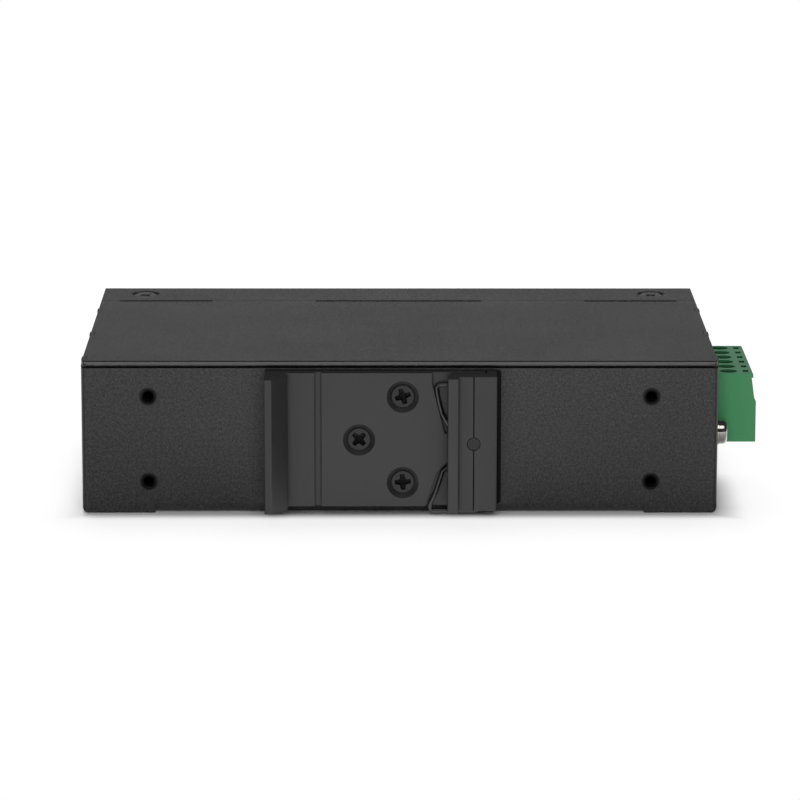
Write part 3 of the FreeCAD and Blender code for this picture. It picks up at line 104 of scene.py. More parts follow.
class Finish:
    """A procedural surface: one shader and the nodes that feed it."""

    # Sockets of the mix node that carry colours
    FIRST_COLOUR, SECOND_COLOUR, MIXED_COLOUR = 6, 7, 2
    # Rays that the rounding and shading nodes send out
    PROBES = 8

    def __init__(self, name, owner=None, shader="Principled BSDF", place="Object", **constants):
        self.material = owner or bpy.data.materials.new(name)
        self.material.use_nodes = True
        self.tree = self.material.node_tree
        self.shader = self.tree.nodes[shader]
        for socket, value in constants.items():
            self.shader.inputs[socket.replace("_", " ")].default_value = value
        self.place = self.node("ShaderNodeTexCoord", {}, {}, place)

    def node(self, kind, settings, inputs, output=0):
        """Any node: its settings first, then its socket values or links; gives one output."""
        made = self.tree.nodes.new(kind)
        for name, value in settings.items():
            setattr(made, name, value)
        for name, value in inputs.items():
            if isinstance(value, Value):
                self.tree.links.new(value.socket, made.inputs[name])
            else:
                made.inputs[name].default_value = value
        return Value(self, made.outputs[output])

    def stretched(self, x, y, z):
        """Object coordinates scaled on each axis."""
        return self.node("ShaderNodeMapping", {}, {"Vector": self.place, "Scale": (x, y, z)})

    def noise(self, scale, detail=2.0, rough=0.5, place=None):
        """Noise between 0 and 1; scale counts cells in a metre."""
        inputs = {"Vector": place or self.place, "Scale": scale, "Detail": detail, "Roughness": rough}
        return self.node("ShaderNodeTexNoise", {}, inputs)

    def ramp(self, value, low, high):
        """Smooth step of a value from 0 at low to 1 at high."""
        inputs = {"Value": value, "From Min": low, "From Max": high}
        return self.node("ShaderNodeMapRange", {"interpolation_type": "SMOOTHSTEP"}, inputs)

    def blend(self, factor, first, second):
        """Mix of two colours, each a tuple or a link."""
        inputs = {"Factor": factor, self.FIRST_COLOUR: first, self.SECOND_COLOUR: second}
        return self.node("ShaderNodeMix", {"data_type": "RGBA"}, inputs, self.MIXED_COLOUR)

    def part_of(self, vector, axis):
        """One component of a vector."""
        return self.node("ShaderNodeSeparateXYZ", {}, {"Vector": vector}, axis)

    def hollow(self):
        """Depth stored on a piece's points, 1 at the foot of a recess; 0 on everything else. Materials
        read it to paint shade in recesses.
        """
        return self.node("ShaderNodeAttribute", {"attribute_name": "hollow"}, {}, "Fac")

    def normal(self):
        """The surface's own direction."""
        return self.node("ShaderNodeNewGeometry", {}, {}, "Normal")

    def facing(self, axis):
        """How far the surface faces along one axis, either way, from 0 to 1."""
        return abs(self.part_of(self.normal(), axis))

    def ray(self, kind):
        """1 where a ray of one kind meets the surface, or else 0."""
        return self.node("ShaderNodeLightPath", {}, {}, f"Is {kind} Ray")

    def rounded(self, radius):
        """The surface's direction with its sharp edges rounded."""
        return self.node("ShaderNodeBevel", {"samples": self.PROBES}, {"Radius": radius})

    def edges(self, radius):
        """Mask of the strip beside sharp edges, from the turn of a rounded normal; the materials paint
        it paler, partly as wear and partly as a painted highlight.
        """
        pair = {0: self.rounded(radius), 1: self.normal()}
        dot = self.node("ShaderNodeVectorMath", {"operation": "DOT_PRODUCT"}, pair, "Value")
        return self.ramp(1 - dot, 0.01, 0.2)

    def cavity(self, reach):
        """How far its own piece shuts the surface in within a reach: 0 in the open, 1 in a pit."""
        settings = {"samples": self.PROBES, "only_local": True}
        return 1 - self.node("ShaderNodeAmbientOcclusion", settings, {"Distance": reach}, "AO")

    def bump(self, height, strength, distance, rounding=0.0):
        """Surface relief from a height, on a rounded edge where a radius is given."""
        inputs = {"Height": height, "Strength": strength, "Distance": distance}
        if rounding:
            inputs["Normal"] = self.rounded(rounding)
        self.feed("Normal", self.node("ShaderNodeBump", {}, inputs))

    def feed(self, socket, value):
        """Link a value to a socket of the shader."""
        self.tree.links.new(value.socket, self.shader.inputs[socket])


def grey(level, blue=1.02):
    """Neutral colour of one level, a trace bluer unless told otherwise."""
    return (level, level, level * blue, 1.0)


def powder_coat():
    """Fine dark powder coat with pale specks and faint clouds; painted highlight on the rear chamfer,
    and painted shade in a thin line along its top, on the bends and in hollows.
    """
    rim_low, rim_high = 32.56 * MM, 32.64 * MM
    paint = Finish("powder_coat", Specular_IOR_Level=0.65)
    grain = paint.noise(2900, 2.0, 0.6)
    cells = paint.noise(1500)
    clouds = paint.noise(40)
    specks = paint.ramp(paint.noise(1900, 1.0), 0.64, 0.76)
    tone = (grain - 0.5) * 2.2 + (cells - 0.5) + (clouds - 0.5) * 0.3 + specks * 0.7 + 0.42
    colour = paint.blend(tone.clamp(), grey(0.01), grey(0.066))
    along, across, up = (paint.part_of(paint.normal(), axis) for axis in "XYZ")
    # painted highlight: faces that turn half up and half out over the rear panel, like the rear
    # chamfer, are marked to be painted paler
    bevel_highlight = paint.ramp(-1 * across * up, 0.2, 0.42)
    # painted shade: a thin band at the top of the chamfer, between rim_low and rim_high, is marked to
    # go near-black
    crease = bevel_highlight * paint.ramp(paint.part_of(paint.place, "Z"), rim_low, rim_high)
    # painted shade: upright bends and faces that look down, where they also turn a little towards Y,
    # are marked to go near-black
    bend = paint.ramp(along * along, 0.12, 0.3).at_least(paint.ramp(-1 * up, 0.75, 0.92))
    dark = crease.at_least(bend * paint.ramp(across * across, 0.001, 0.05))
    # painted highlight: the chamfer strip, less its dark line, goes paler grey
    colour = paint.blend((bevel_highlight - crease) * 0.9, colour, grey(0.115))
    # painted shade: the chamfer's dark line and the bends go near-black
    colour = paint.blend(dark * 0.9, colour, grey(0.006))
    # painted shade: the paint goes near-black where its own piece closes round it, in hollows and
    # inside corners
    pit_shade = paint.ramp(paint.cavity(1.2 * MM), 0.2, 0.5)
    paint.feed("Base Color", paint.blend(pit_shade * 0.85, colour, grey(0.01)))
    paint.feed("Roughness", 0.3 + grain * 0.15)
    paint.bump(grain * 0.5 + cells * 0.7, 0.5, 0.08 * MM, 0.2 * MM)
    return paint


def satin_coat():
    """Smooth dark coat on the extruded clip with drawn lines along Z; painted shade turns the faces
    along Z and a band next to the rear panel near-black.
    """
    foot_high, foot_low = REAR_Y - 1.4 * MM, REAR_Y - 1.1 * MM
    coat = Finish("satin_coat", Specular_IOR_Level=0.3, Specular_Tint=grey(0.15, 1))
    lines = coat.noise(1.0, 3.0, 0.6, coat.stretched(3000, 3000, 60))
    clouds = coat.noise(60)
    tone = (lines * 0.5 + clouds * 0.5).clamp()
    colour = coat.blend(tone, grey(0.076), grey(0.093))
    # paler edges: partly wear, partly painted highlight
    colour = coat.blend(coat.edges(0.2 * MM) * 0.3, colour, grey(0.1))
    # painted shade: the coat goes near-black where the clip's own piece closes round it, in grooves and
    # pockets
    pit_shade = coat.ramp(coat.cavity(0.9 * MM), 0.15, 0.7)
    colour = coat.blend(pit_shade * 0.6, colour, grey(0.015))
    # painted shade: faces that look along Z are marked near-black, duller and rougher
    ends = coat.ramp(coat.facing("Z"), 0.8, 0.95)
    # painted shade: the band closer than about 1.1 mm to the rear panel, fading out by 1.4 mm, is
    # marked near-black
    foot = coat.ramp(coat.part_of(coat.place, "Y"), foot_high, foot_low)
    dark = ends.at_least(foot)
    coat.feed("Base Color", coat.blend(dark, colour, grey(0.014)))
    coat.feed("Metallic", 0.7 - dark * 0.5)
    coat.feed("Roughness", 0.36 + lines * 0.1 + dark * 0.3)
    coat.bump(lines, 0.15, 0.02 * MM, 0.15 * MM)
    return coat


def black_oxide(name, metal):
    """Blackened steel of screws and pin, more or less metallic, with painted shade that turns it
    near-black down in the driver recess and paler edges, partly wear and partly painted highlight.
    """
    steel = Finish(name, Specular_IOR_Level=0.4, Specular_Tint=grey(0.3, 1))
    spots = steel.noise(1800, 3.0, 0.6)
    # painted shade: deeper points of a recess go near-black
    deep = steel.ramp(steel.hollow(), 0.1, 0.5)
    colour = steel.blend(spots, grey(0.05), grey(0.075))
    # paler edges: partly wear, partly painted highlight
    colour = steel.blend(steel.edges(0.08 * MM) * 0.3, colour, grey(0.14))
    steel.feed("Base Color", steel.blend(deep, colour, grey(0.02)))
    steel.feed("Metallic", metal + spots * 0.1)
    steel.feed("Roughness", 0.36 + spots * 0.15)
    steel.bump(spots, 0.2, 0.02 * MM)
    return steel


def drawn_wire():
    """Dark oiled spring wire with fine streaks."""
    wire = Finish("drawn_wire", Specular_IOR_Level=0.5)
    streaks = wire.noise(4000, 3.0, 0.6)
    wire.feed("Base Color", wire.blend(streaks, grey(0.07), grey(0.12)))
    wire.feed("Metallic", 0.85 + streaks * 0.1)
    wire.feed("Roughness", 0.28 + streaks * 0.12)
    wire.bump(streaks, 0.1, 0.01 * MM)
    return wire


def bright_nickel():
    """Bright nickel plate with faint wipe marks, with painted shade that dulls it down in a recess."""
    plate = Finish("bright_nickel", Metallic=1.0)
    wipe = plate.noise(1500, 3.0, 0.6)
    colour = plate.blend(wipe, (0.56, 0.53, 0.48, 1), (0.74, 0.71, 0.67, 1))
    # painted shade: deeper points of a recess go dark brown-grey
    deep = plate.ramp(plate.hollow(), 0.1, 0.6)
    plate.feed("Base Color", plate.blend(deep, colour, (0.1, 0.09, 0.08, 1)))
    plate.feed("Roughness", 0.08 + wipe * 0.1)
    plate.bump(wipe, 0.1, 0.01 * MM)
    return plate


def zinc_plate():
    """Dull zinc-plated steel."""
    plate = Finish("zinc_plate", Metallic=0.9)
    spangle = plate.noise(1200)
    plate.feed("Base Color", plate.blend(spangle, grey(0.3, 1), (0.46, 0.46, 0.47, 1)))
    plate.feed("Roughness", 0.3 + spangle * 0.2)
    plate.bump(spangle, 0.2, 0.02 * MM)
    return plate


def moulding(name, low, high, level, pit, rough):
    """Satin moulded plastic between two tones, with a painted light tone on level faces and painted
    shade in hollows.
    """
    plastic = Finish(name, Specular_IOR_Level=0.35)
    grain = plastic.noise(3500)
    flow = plastic.noise(120)
    colour = plastic.blend((grain * 0.3 + flow * 0.7).clamp(), low, high)
    # painted light: faces along Z take the level tone, for how light falls on them
    colour = plastic.blend(plastic.ramp(plastic.facing("Z"), 0.6, 0.9) * 0.8, colour, level)
    # painted shade: the pit colour goes in where the piece's own walls close round it, down its wells
    pit_shade = plastic.ramp(plastic.cavity(6 * MM), 0.38, 0.72)
    plastic.feed("Base Color", plastic.blend(pit_shade, colour, pit))
    plastic.feed("Roughness", rough + grain * 0.12)
    plastic.bump(grain, 0.2, 0.02 * MM, 0.15 * MM)
    return plastic


def solder_mask():
    """Green solder mask with fine traces under it."""
    mask = Finish("solder_mask", Coat_Weight=0.3)
    settings = {"wave_type": "BANDS", "bands_direction": "X"}
    inputs = {"Vector": mask.place, "Scale": 160.0, "Distortion": 3.0}
    traces = mask.node("ShaderNodeTexWave", settings, inputs, "Fac")
    lines = mask.ramp(traces, 0.72, 0.8)
    mask.feed("Base Color", mask.blend(lines, (0.004, 0.03, 0.012, 1), (0.012, 0.07, 0.028, 1)))
    mask.feed("Roughness", 0.32 + lines * 0.1)
    mask.bump(lines, 0.2, 0.02 * MM)
    return mask


def gold_flash():
    """Thin gold plate on contacts and pins."""
    gold = Finish("gold_flash", Metallic=1.0)
    wear = gold.noise(1500)
    gold.feed("Base Color", gold.blend(wear, (0.72, 0.46, 0.16, 1), (0.86, 0.64, 0.3, 1)))
    gold.feed("Roughness", 0.2 + wear * 0.12)
    return gold


def tinned_sheet():
    """Tinned sheet of the socket shield and the cage, brushed along the sockets."""
    tin = Finish("tinned_sheet", Metallic=1.0)
    brush = tin.noise(1.0, 3.0, 0.6, tin.stretched(2500, 120, 2500))
    tin.feed("Base Color", tin.blend(brush, (0.42, 0.42, 0.41, 1), (0.62, 0.62, 0.6, 1)))
    tin.feed("Roughness", 0.22 + brush * 0.18)
    tin.bump(brush, 0.15, 0.01 * MM, 0.1 * MM)
    return tin


def lamp_lens():
    """Tinted lamp lens, cloudy inside."""
    lens = Finish("lamp_lens", Coat_Weight=0.6, Transmission_Weight=0.25)
    haze = lens.noise(700)
    lens.feed("Base Color", lens.blend(haze, (0.16, 0.42, 0.12, 1), (0.3, 0.55, 0.22, 1)))
    lens.feed("Roughness", 0.12 + haze * 0.1)
    return lens


# In the mouldings, level is a painted light tone for faces along Z and pit a painted shade colour for
# hollows.
FINISHES = {
    "case_paint": powder_coat(),
    "clip_coat": satin_coat(),
    "black_screw": black_oxide("black_oxide", metal=0.7),
    "spring_steel": drawn_wire(),
    "nickel": bright_nickel(),
    "zinc_steel": zinc_plate(),
    "terminal_green": moulding(
        "green_moulding", low=(0.063, 0.276, 0.115, 1), high=(0.074, 0.316, 0.132, 1),
        level=(0.052, 0.088, 0.068, 1), pit=(0.001, 0.014, 0.003, 1), rough=0.5),
    "black_plastic": moulding(
        "black_moulding", low=grey(0.010), high=grey(0.018),
        level=grey(0.016), pit=grey(0.005), rough=0.4),
    "board_laminate": solder_mask(),
    "gold_contact": gold_flash(),
    "shield_steel": tinned_sheet(),
    "lamp_lens": lamp_lens(),
    "can_metal": moulding(
        "can_sleeve", low=(0.02, 0.02, 0.035, 1), high=(0.03, 0.03, 0.05, 1),
        level=(0.025, 0.025, 0.042, 1), pit=(0.01, 0.01, 0.02, 1), rough=0.3),
}
FLANGE_BLACK = black_oxide("flange_black", metal=0.05)

for part in frame["record"]["subparts"]:
    node = frame["nodes"][part["node"]]
    node.data.materials.clear()
    node.data.materials.append(FINISHES[part["material_slot"]].material)


# Pieces on top of the solids


def rings_to_faces(rings, turns, closed):
    """Quads between neighbouring rings of points, and from the last ring to the first if closed.

    The faces look outwards where ring after ring runs outwards and down.
    """
    gaps = rings if closed else rings - 1
    ring, turn = np.meshgrid(np.arange(gaps), np.arange(turns), indexing="ij")
    after = (turn + 1) % turns
    here, below = ring * turns, (ring + 1) % rings * turns
    corners = [here + turn, below + turn, below + after, here + after]
    return np.stack(corners, -1).reshape(-1, 4)


def capped(points, depth=0.0):
    """Closed shape from rings of points (ring, turn, xyz): quads between rings, a fan over both ends.

    The middle of the first and of the last ring closes its end. A shape is its points, its quads,
    its triangles and the depth of each point in a recess, all as arrays.
    """
    rings, turns, _ = points.shape
    turn = np.arange(turns)
    after = (turn + 1) % turns
    first, last = rings * turns, rings * turns + 1
    far = (rings - 1) * turns
    fans = [np.stack([np.full(turns, first), turn, after], -1),
            np.stack([np.full(turns, last), far + after, far + turn], -1)]
    middles = np.stack([points[0].mean(0), points[-1].mean(0)])
    depth = np.broadcast_to(depth, points.shape[:2])
    depths = np.concatenate([depth.ravel(), [depth[0].mean(), depth[-1].mean()]])
    quads = rings_to_faces(rings, turns, closed=False)
    return np.concatenate([points.reshape(-1, 3), middles]), quads, np.concatenate(fans), depths


def looped(points, depth=0.0):
    """Closed shape from rings of points (ring, turn, xyz) that run round to the first ring again."""
    rings, turns, _ = points.shape
    quads = rings_to_faces(rings, turns, closed=True)
    depths = np.broadcast_to(depth, (rings, turns)).ravel()
    return points.reshape(-1, 3), quads, np.empty((0, 3), int), depths


def joined(shapes):
    """Several shapes as one: each shape's faces count on from the points before it."""
    points, quads, triangles, depths = zip(*shapes)
    starts = np.cumsum([0] + [len(own) for own in points])
    quads, triangles = (np.concatenate([start + own for start, own in zip(starts, faces)])
                        for faces in (quads, triangles))
    return np.concatenate(points), quads, triangles, np.concatenate(depths)


def placed(shape, axes, spot):
    """Shape drawn about its own axis, put at a spot with its X, Y and Z along the given axes."""
    points, quads, triangles, depths = shape
    return points @ np.array(axes, float) + np.array(spot, float), quads, triangles, depths


def add_piece(name, shape, slot, body=None, stands_for=None, crease=35):
    """Object from a shape in millimetres of the casing's frame, sharp beyond a crease angle."""
    points, quads, triangles, depths = shape
    mesh = bpy.data.meshes.new(name)
    mesh.from_pydata((ORIGIN + MM * points).tolist(), [], quads.tolist() + triangles.tolist())
    hollow = mesh.attributes.new("hollow", "FLOAT", "POINT")
    hollow.data.foreach_set("value", depths.astype(np.float32))
    mesh.polygons.foreach_set("use_smooth", np.ones(len(mesh.polygons), bool))
    mesh.set_sharp_from_angle(angle=math.radians(crease))
    mesh.materials.append(FINISHES[slot].material)
    made = bpy.data.objects.new(name, mesh)
    bpy.context.collection.objects.link(made)
    if body:
        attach(made, body)
    if stands_for:
        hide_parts(stands_for)
    return made


def smooth(value):
    """Smooth step from 0 to 1 of a value between 0 and 1."""
    held = np.clip(value, 0, 1)
    return held * held * (3 - 2 * held)


def cross_recess(x, y, span, depth, turn):
    """Depth of a tapered driver cross at (x, y): four arms whose flanks curve out to the middle.

    Along an arm the half width falls with the square of the way out; the walls fall over a short
    run inside the outline, and the arms shoal towards their ends.
    """
    tip_half, middle_gain = 0.14, 0.12
    wall_run, end_run, end_depth = 0.05 * span, 0.16, 0.55
    a = math.radians(turn)
    u, v = x * math.cos(a) + y * math.sin(a), y * math.cos(a) - x * math.sin(a)

    def arm(along, across):
        way = np.clip(1 - np.abs(along) / (span / 2), 0, 1)
        half = span * (tip_half + middle_gain * way ** 2)
        walls = smooth((half - np.abs(across)) / wall_run) * smooth(way / end_run)
        return walls * (end_depth + (1 - end_depth) * way)

    return depth * np.maximum(arm(u, v), arm(v, u))


def slot_recess(x, y, width, depth):
    """Depth of a straight driver slot across the head."""
    return depth * smooth((width / 2 - np.abs(y)) / (0.2 * width)) + 0 * x


def turned(profile, recess, turns=96):
    """Solid of revolution from (radius, height) pairs, with a driver recess sunk into its top face.

    A ring of points stands at each pair; the recess's depth at a ring's (x, y) is taken from its
    height while the profile still climbs outwards over the top face.
    """
    radius, height = np.array(profile).T
    angle = np.linspace(0, TAU, turns, endpoint=False)
    x, y = np.outer(radius, np.cos(angle)), np.outer(radius, np.sin(angle))
    on_top = np.arange(len(radius)) <= np.argmax(radius)
    depth = np.where(on_top[:, None], recess(x, y), 0.0)
    return capped(np.stack([x, y, height[:, None] - depth], -1), depth)


def thread(radius, pitch, top, bottom, turns=48, steps=12):
    """Outside of a screw thread: the radius swings between crest and root.

    The swing follows the height and the turn angle, and runs out over the first and the last pitch.
    """
    count = int((top - bottom) / pitch * steps)
    height = np.linspace(top, bottom, count)[:, None]
    angle = np.linspace(0, TAU, turns, endpoint=False)[None, :]
    phase = (height / pitch - angle / TAU) % 1.0
    grow = smooth((top - height) / pitch) * smooth((height - bottom) / pitch)
    tooth = 0.3 * pitch
    r = radius - tooth * (1 - grow * (1 - np.abs(2 * phase - 1)))
    return capped(np.stack([r * np.cos(angle), r * np.sin(angle), height + 0 * angle], -1))


# M3 screws, in millimetres; the innermost ring of a head stands just off its axis
SHANK, PITCH = 1.5, 0.5
INNERMOST = 0.04


def flat_head(radius, recess):
    """Countersunk head and neck: flat top with a broken edge, thin rim and a 45 degree cone."""
    rim_foot, neck_foot = -0.2, -1.9
    top = [(r, 0.0) for r in np.linspace(INNERMOST, radius - 0.12, 48)]
    rim = [(radius - 0.05, -0.02), (radius, -0.07), (radius, rim_foot)]
    cone = [(r, r - radius + rim_foot) for r in np.linspace(radius - 0.05, SHANK, 6)]
    return turned(top + rim + cone + [(SHANK, neck_foot)], recess, 128)


def pan_head(radius, height, recess):
    """Pan head: low crown, a quarter round at the edge and a straight side."""
    fall, edge, chamfer, neck = 0.22, 0.28 * radius, 0.08, 1.4
    crown = [(r, -fall * (r / radius) ** 2) for r in np.linspace(INNERMOST, 0.72 * radius, 40)]
    bend = np.radians(np.linspace(90, 0, 12))[1:]
    low = crown[-1][1]
    round_edge = [(radius - edge + edge * math.cos(a), low - edge + edge * math.sin(a)) for a in bend]
    side = [(radius, -height + chamfer), (radius - chamfer, -height), (neck, -height)]
    return turned(crown + round_edge + side, recess)


def screw(head, length, start):
    """A head with its threaded shank."""
    return joined([head, thread(SHANK, PITCH, start, -length)])


# A piece's own X, Y and Z along the casing's axes
FACING_REAR = ((1, 0, 0), (0, 0, 1), (0, -1, 0))
FACING_UP = ((1, 0, 0), (0, 1, 0), (0, 0, 1))
FACING_DOWN = ((1, 0, 0), (0, -1, 0), (0, 0, -1))
FACING_END = ((0, 1, 0), (0, 0, 1), (1, 0, 0))
FACING_FRONT = ((0, 0, 1), (1, 0, 0), (0, 1, 0))


def cross(span, depth, turn):
    """Driver cross as a function of (x, y)."""
    return lambda x, y: cross_recess(x, y, span, depth, turn)


def clip_screws():
    """Three countersunk screws in the clip's base, each stopped at its own angle."""
    head_y = -2.85
    made = []
    for x, z, turn in ((0.6, 25.85, 18), (-8.65, 16.6, 45), (0.6, 7.35, 4)):
        head = flat_head(2.4, cross(span=3.4, depth=1.3, turn=turn))
        made.append(placed(screw(head, length=7.0, start=-1.4), FACING_REAR, (x, head_y, z)))
    add_piece("clip_screw_set", joined(made), "black_screw", "casing", "clip_screws")


def bezel_screws():
    """Four countersunk screws in the flanges, two above and two below."""
    side_x, row_y, above_z, below_z = 57.75, 78.7, 32.52, 0.28
    one = screw(flat_head(2.6, cross(span=3.0, depth=1.2, turn=40)), length=7.0, start=-1.5)
    four = joined([placed(one, axes, (x, row_y, z))
                   for axes, z in ((FACING_UP, above_z), (FACING_DOWN, below_z))
                   for x in (-side_x, side_x)])
    made = add_piece("bezel_screw_set", four, "black_screw", "casing", "bezel_screws")
    made.data.materials[0] = FLANGE_BLACK.material


def earth_screw():
    """Pan-head screw with its thread, on the terminal end."""
    crown_spot = (69.9, 6.0, 16.5)
    head = pan_head(2.75, height=1.9, recess=cross(span=3.1, depth=1.0, turn=30))
    made = placed(screw(head, length=9.9, start=-1.8), FACING_END, crown_spot)
    add_piece("earth_screw", made, "nickel", "casing", "ground_screw")


def terminal_screws():
    """Six slotted clamp screws at the foot of the plug's wells."""
    poles, pole_pitch = 6, 5.08
    radius, shank, foot, tip = 1.7, 1.1, -3.2, -5.6
    top = [(r, -0.06 * (r / radius) ** 2) for r in np.linspace(0.03, 1.58, 30)]
    side = [(1.66, -0.1), (radius, -0.16), (radius, foot), (shank, foot)]
    head = turned(top + side, lambda x, y: slot_recess(x, y, width=0.6, depth=0.7), 64)
    one = joined([head, thread(shank, 0.45, foot, tip, turns=32)])
    low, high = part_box("terminal_screws")
    x, y, z = (np.array([(low[0] + high[0]) / 2, low[1], high[2]]) - ORIGIN) / MM
    row = [placed(one, FACING_UP, (x, y + radius + pole_pitch * pole, z)) for pole in range(poles)]
    add_piece("clamp_screw_row", joined(row), "nickel", "casing", "terminal_screws")


def lamp_lenses():
    """Five round lenses with domed fronts, set flush in the front panel."""
    lamps, first_x, spacing, front_y = 5, 34.0, 5.0, 87.0
    radius, fall, sweep = 1.45, 0.5, 1.2
    angle = np.linspace(0.03, sweep, 16)
    dome = np.stack([radius * np.sin(angle) / math.sin(sweep),
                     -fall * (1 - np.cos(angle)) / (1 - math.cos(sweep))], -1)
    pipe = turned([*dome, (radius, -0.6), (radius, -5.0)], lambda x, y: 0 * x, 48)
    low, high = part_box("indicator_leds")
    level = (low[2] + high[2]) / 2 / MM
    row = [placed(pipe, FACING_FRONT, (first_x + spacing * lamp, front_y, level))
           for lamp in range(lamps)]
    add_piece("lamp_lens_row", joined(row), "lamp_lens", "casing", "indicator_leds")


def wire_path(corners, bend, step=0.08):
    """Centre line of a bent wire: even steps from corner to corner, then rounded.

    Two running means as wide as the bend round it off; beyond its ends the line runs on straight.
    """
    corners = np.array(corners, float)
    runs = np.linalg.norm(np.diff(corners, axis=0), axis=1)
    along = np.concatenate([[0], np.cumsum(runs)])
    way = np.arange(0, along[-1], step)
    line = np.stack([np.interp(way, along, corners[:, k]) for k in range(3)], -1)
    width = int(bend / step) | 1
    for _ in range(2):
        before = line[0] + (line[0] - line[1]) * np.arange(width // 2, 0, -1)[:, None]
        behind = line[-1] + (line[-1] - line[-2]) * np.arange(1, width // 2 + 1)[:, None]
        longer = np.concatenate([before, line, behind])
        share = np.ones(width) / width
        line = np.stack([np.convolve(longer[:, k], share, "valid") for k in range(3)], -1)
    return line


def tube(line, radius, turns=24):
    """Round section carried along a line that lies in a plane of constant Y.

    At each point one section axis is Y and the other stands square to it and to the line.
    """
    ahead = np.gradient(line, axis=0)
    ahead /= np.linalg.norm(ahead, axis=1)[:, None]
    across = np.cross(ahead, (0, 1, 0))
    across /= np.linalg.norm(across, axis=1)[:, None]
    angle = np.linspace(0, TAU, turns, endpoint=False)[None, :, None]
    section = across[:, None] * np.cos(angle) + np.array((0, 1.0, 0)) * np.sin(angle)
    return capped(line[:, None] + radius * section)


def clip_wire():
    """Bent wire spring: a middle round the jaw's pin and two end loops."""
    wire_y, radius, wrap = -3.0, 0.5, 1.95
    pin_x, pin_z = 15.5, 16.6
    near_x, beyond_x = pin_x - 0.4, pin_x + wrap
    under_z, over_z = pin_z - wrap, pin_z + wrap
    lower_knee, upper_knee = (9.05, 9.8), (8.85, 22.2)

    def wire(bend, *corners):
        return tube(wire_path([(x, wire_y, z) for x, z in corners], bend), radius)

    middle = wire(1.0, lower_knee, (near_x, under_z), (beyond_x, under_z), (beyond_x, over_z),
                  (near_x, over_z), (10.9, 18.55), upper_knee)
    bent = add_piece("spring_middle", middle, "spring_steel", crease=60)
    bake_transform(bent)
    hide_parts("clip_spring")
    lower = wire(1.3, lower_knee, (7.5, 5.0), (6.3, 2.6), (6.45, 1.15), (16.65, 1.15), (16.65, 4.0))
    upper = wire(1.7, upper_knee, (8.0, 25.6), (7.6, 28.4), (16.65, 28.4), (16.65, 26.2))
    add_piece("spring_loops", joined([lower, upper]), "spring_steel", "casing", crease=60)


def wall_hole_mouths():
    """Threaded mouths of the four press nuts: a low rounded collar and the thread down the bore.

    The section runs down the bore, back up just inside the panel's hole and over the collar. In the
    bore the radius swings between crest and root with the height and the turn angle.
    """
    crest, tooth, top, foot = 1.1, 0.1, -0.15, -3.6
    skin, shade_radius, shade = 1.235, 1.68, 0.6
    angle = np.linspace(0, TAU, 64, endpoint=False)[None, :]
    down = np.linspace(top, foot, 84)[:, None]
    phase = (down / PITCH - angle / TAU) % 1.0
    inside = crest + tooth * np.abs(2 * phase - 1)
    rest = np.array([(skin, foot), (skin, -0.2), (1.5, -0.06), (1.98, -0.04), (1.95, 0.02),
                     (1.84, 0.1), (1.76, 0.13), (1.7, 0.13), (1.64, 0.11), (1.45, 0.05),
                     (1.28, 0.0), (1.2, -0.08)])
    radius = np.concatenate([inside, rest[:, :1] + 0 * angle])
    height = np.concatenate([down, rest[:, 1:]]) + 0 * angle
    # painted shade: points inside shade_radius carry a shade weight, so the bore and the collar's inner
    # slope go near-black
    sunk = (radius < shade_radius) * shade
    mouth = looped(np.stack([radius * np.cos(angle), radius * np.sin(angle), height], -1), sunk)
    side_x, low_z, high_z = 53.3, 6.8, 25.2
    made = [placed(mouth, FACING_REAR, (x, 0.0, z)) for x in (-side_x, side_x) for z in (low_z, high_z)]
    add_piece("wall_hole_mouths", joined(made), "black_screw", "casing", crease=50)


def socket_gaskets():
    """Foam frames behind the front panel: a rounded section carried round each socket's rectangle.

    The path turns each corner on a quarter circle; the section is a rounded square that stands off
    the path along its own outward direction and along Y.
    """
    wide, deep, corner, panel_y = 1.2, 1.2, 0.5, 86.0
    steps = 64
    angle = np.linspace(0, TAU, steps, endpoint=False) + TAU / (2 * steps)
    outward = np.stack([np.cos(angle), 0 * angle, np.sin(angle)], -1)
    turn = np.linspace(0, TAU, 24, endpoint=False)
    square = np.maximum(np.abs(np.cos(turn)), np.abs(np.sin(turn))) ** -0.8
    made = []
    for node in ("rj45_shield", "sfp_cage"):
        low, high = ((np.array(side) - ORIGIN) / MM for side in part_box(node))
        half = (high - low) / 2 + wide / 2 - corner
        path = np.sign(outward) * half * (1, 0, 1) + corner * outward
        centre = (low + high) / 2
        centre[1] = panel_y - deep / 2
        centre = centre + path
        section = (outward[:, None] * (wide / 2 * square * np.cos(turn))[None, :, None]
                   - np.array((0, 1.0, 0)) * (deep / 2 * square * np.sin(turn))[None, :, None])
        made.append(looped(centre[:, None] + section))
    add_piece("socket_gaskets", joined(made), "black_plastic", "casing")


clip_screws()
bezel_screws()
earth_screw()
terminal_screws()
lamp_lenses()
clip_wire()
wall_hole_mouths()
socket_gaskets()


# Camera


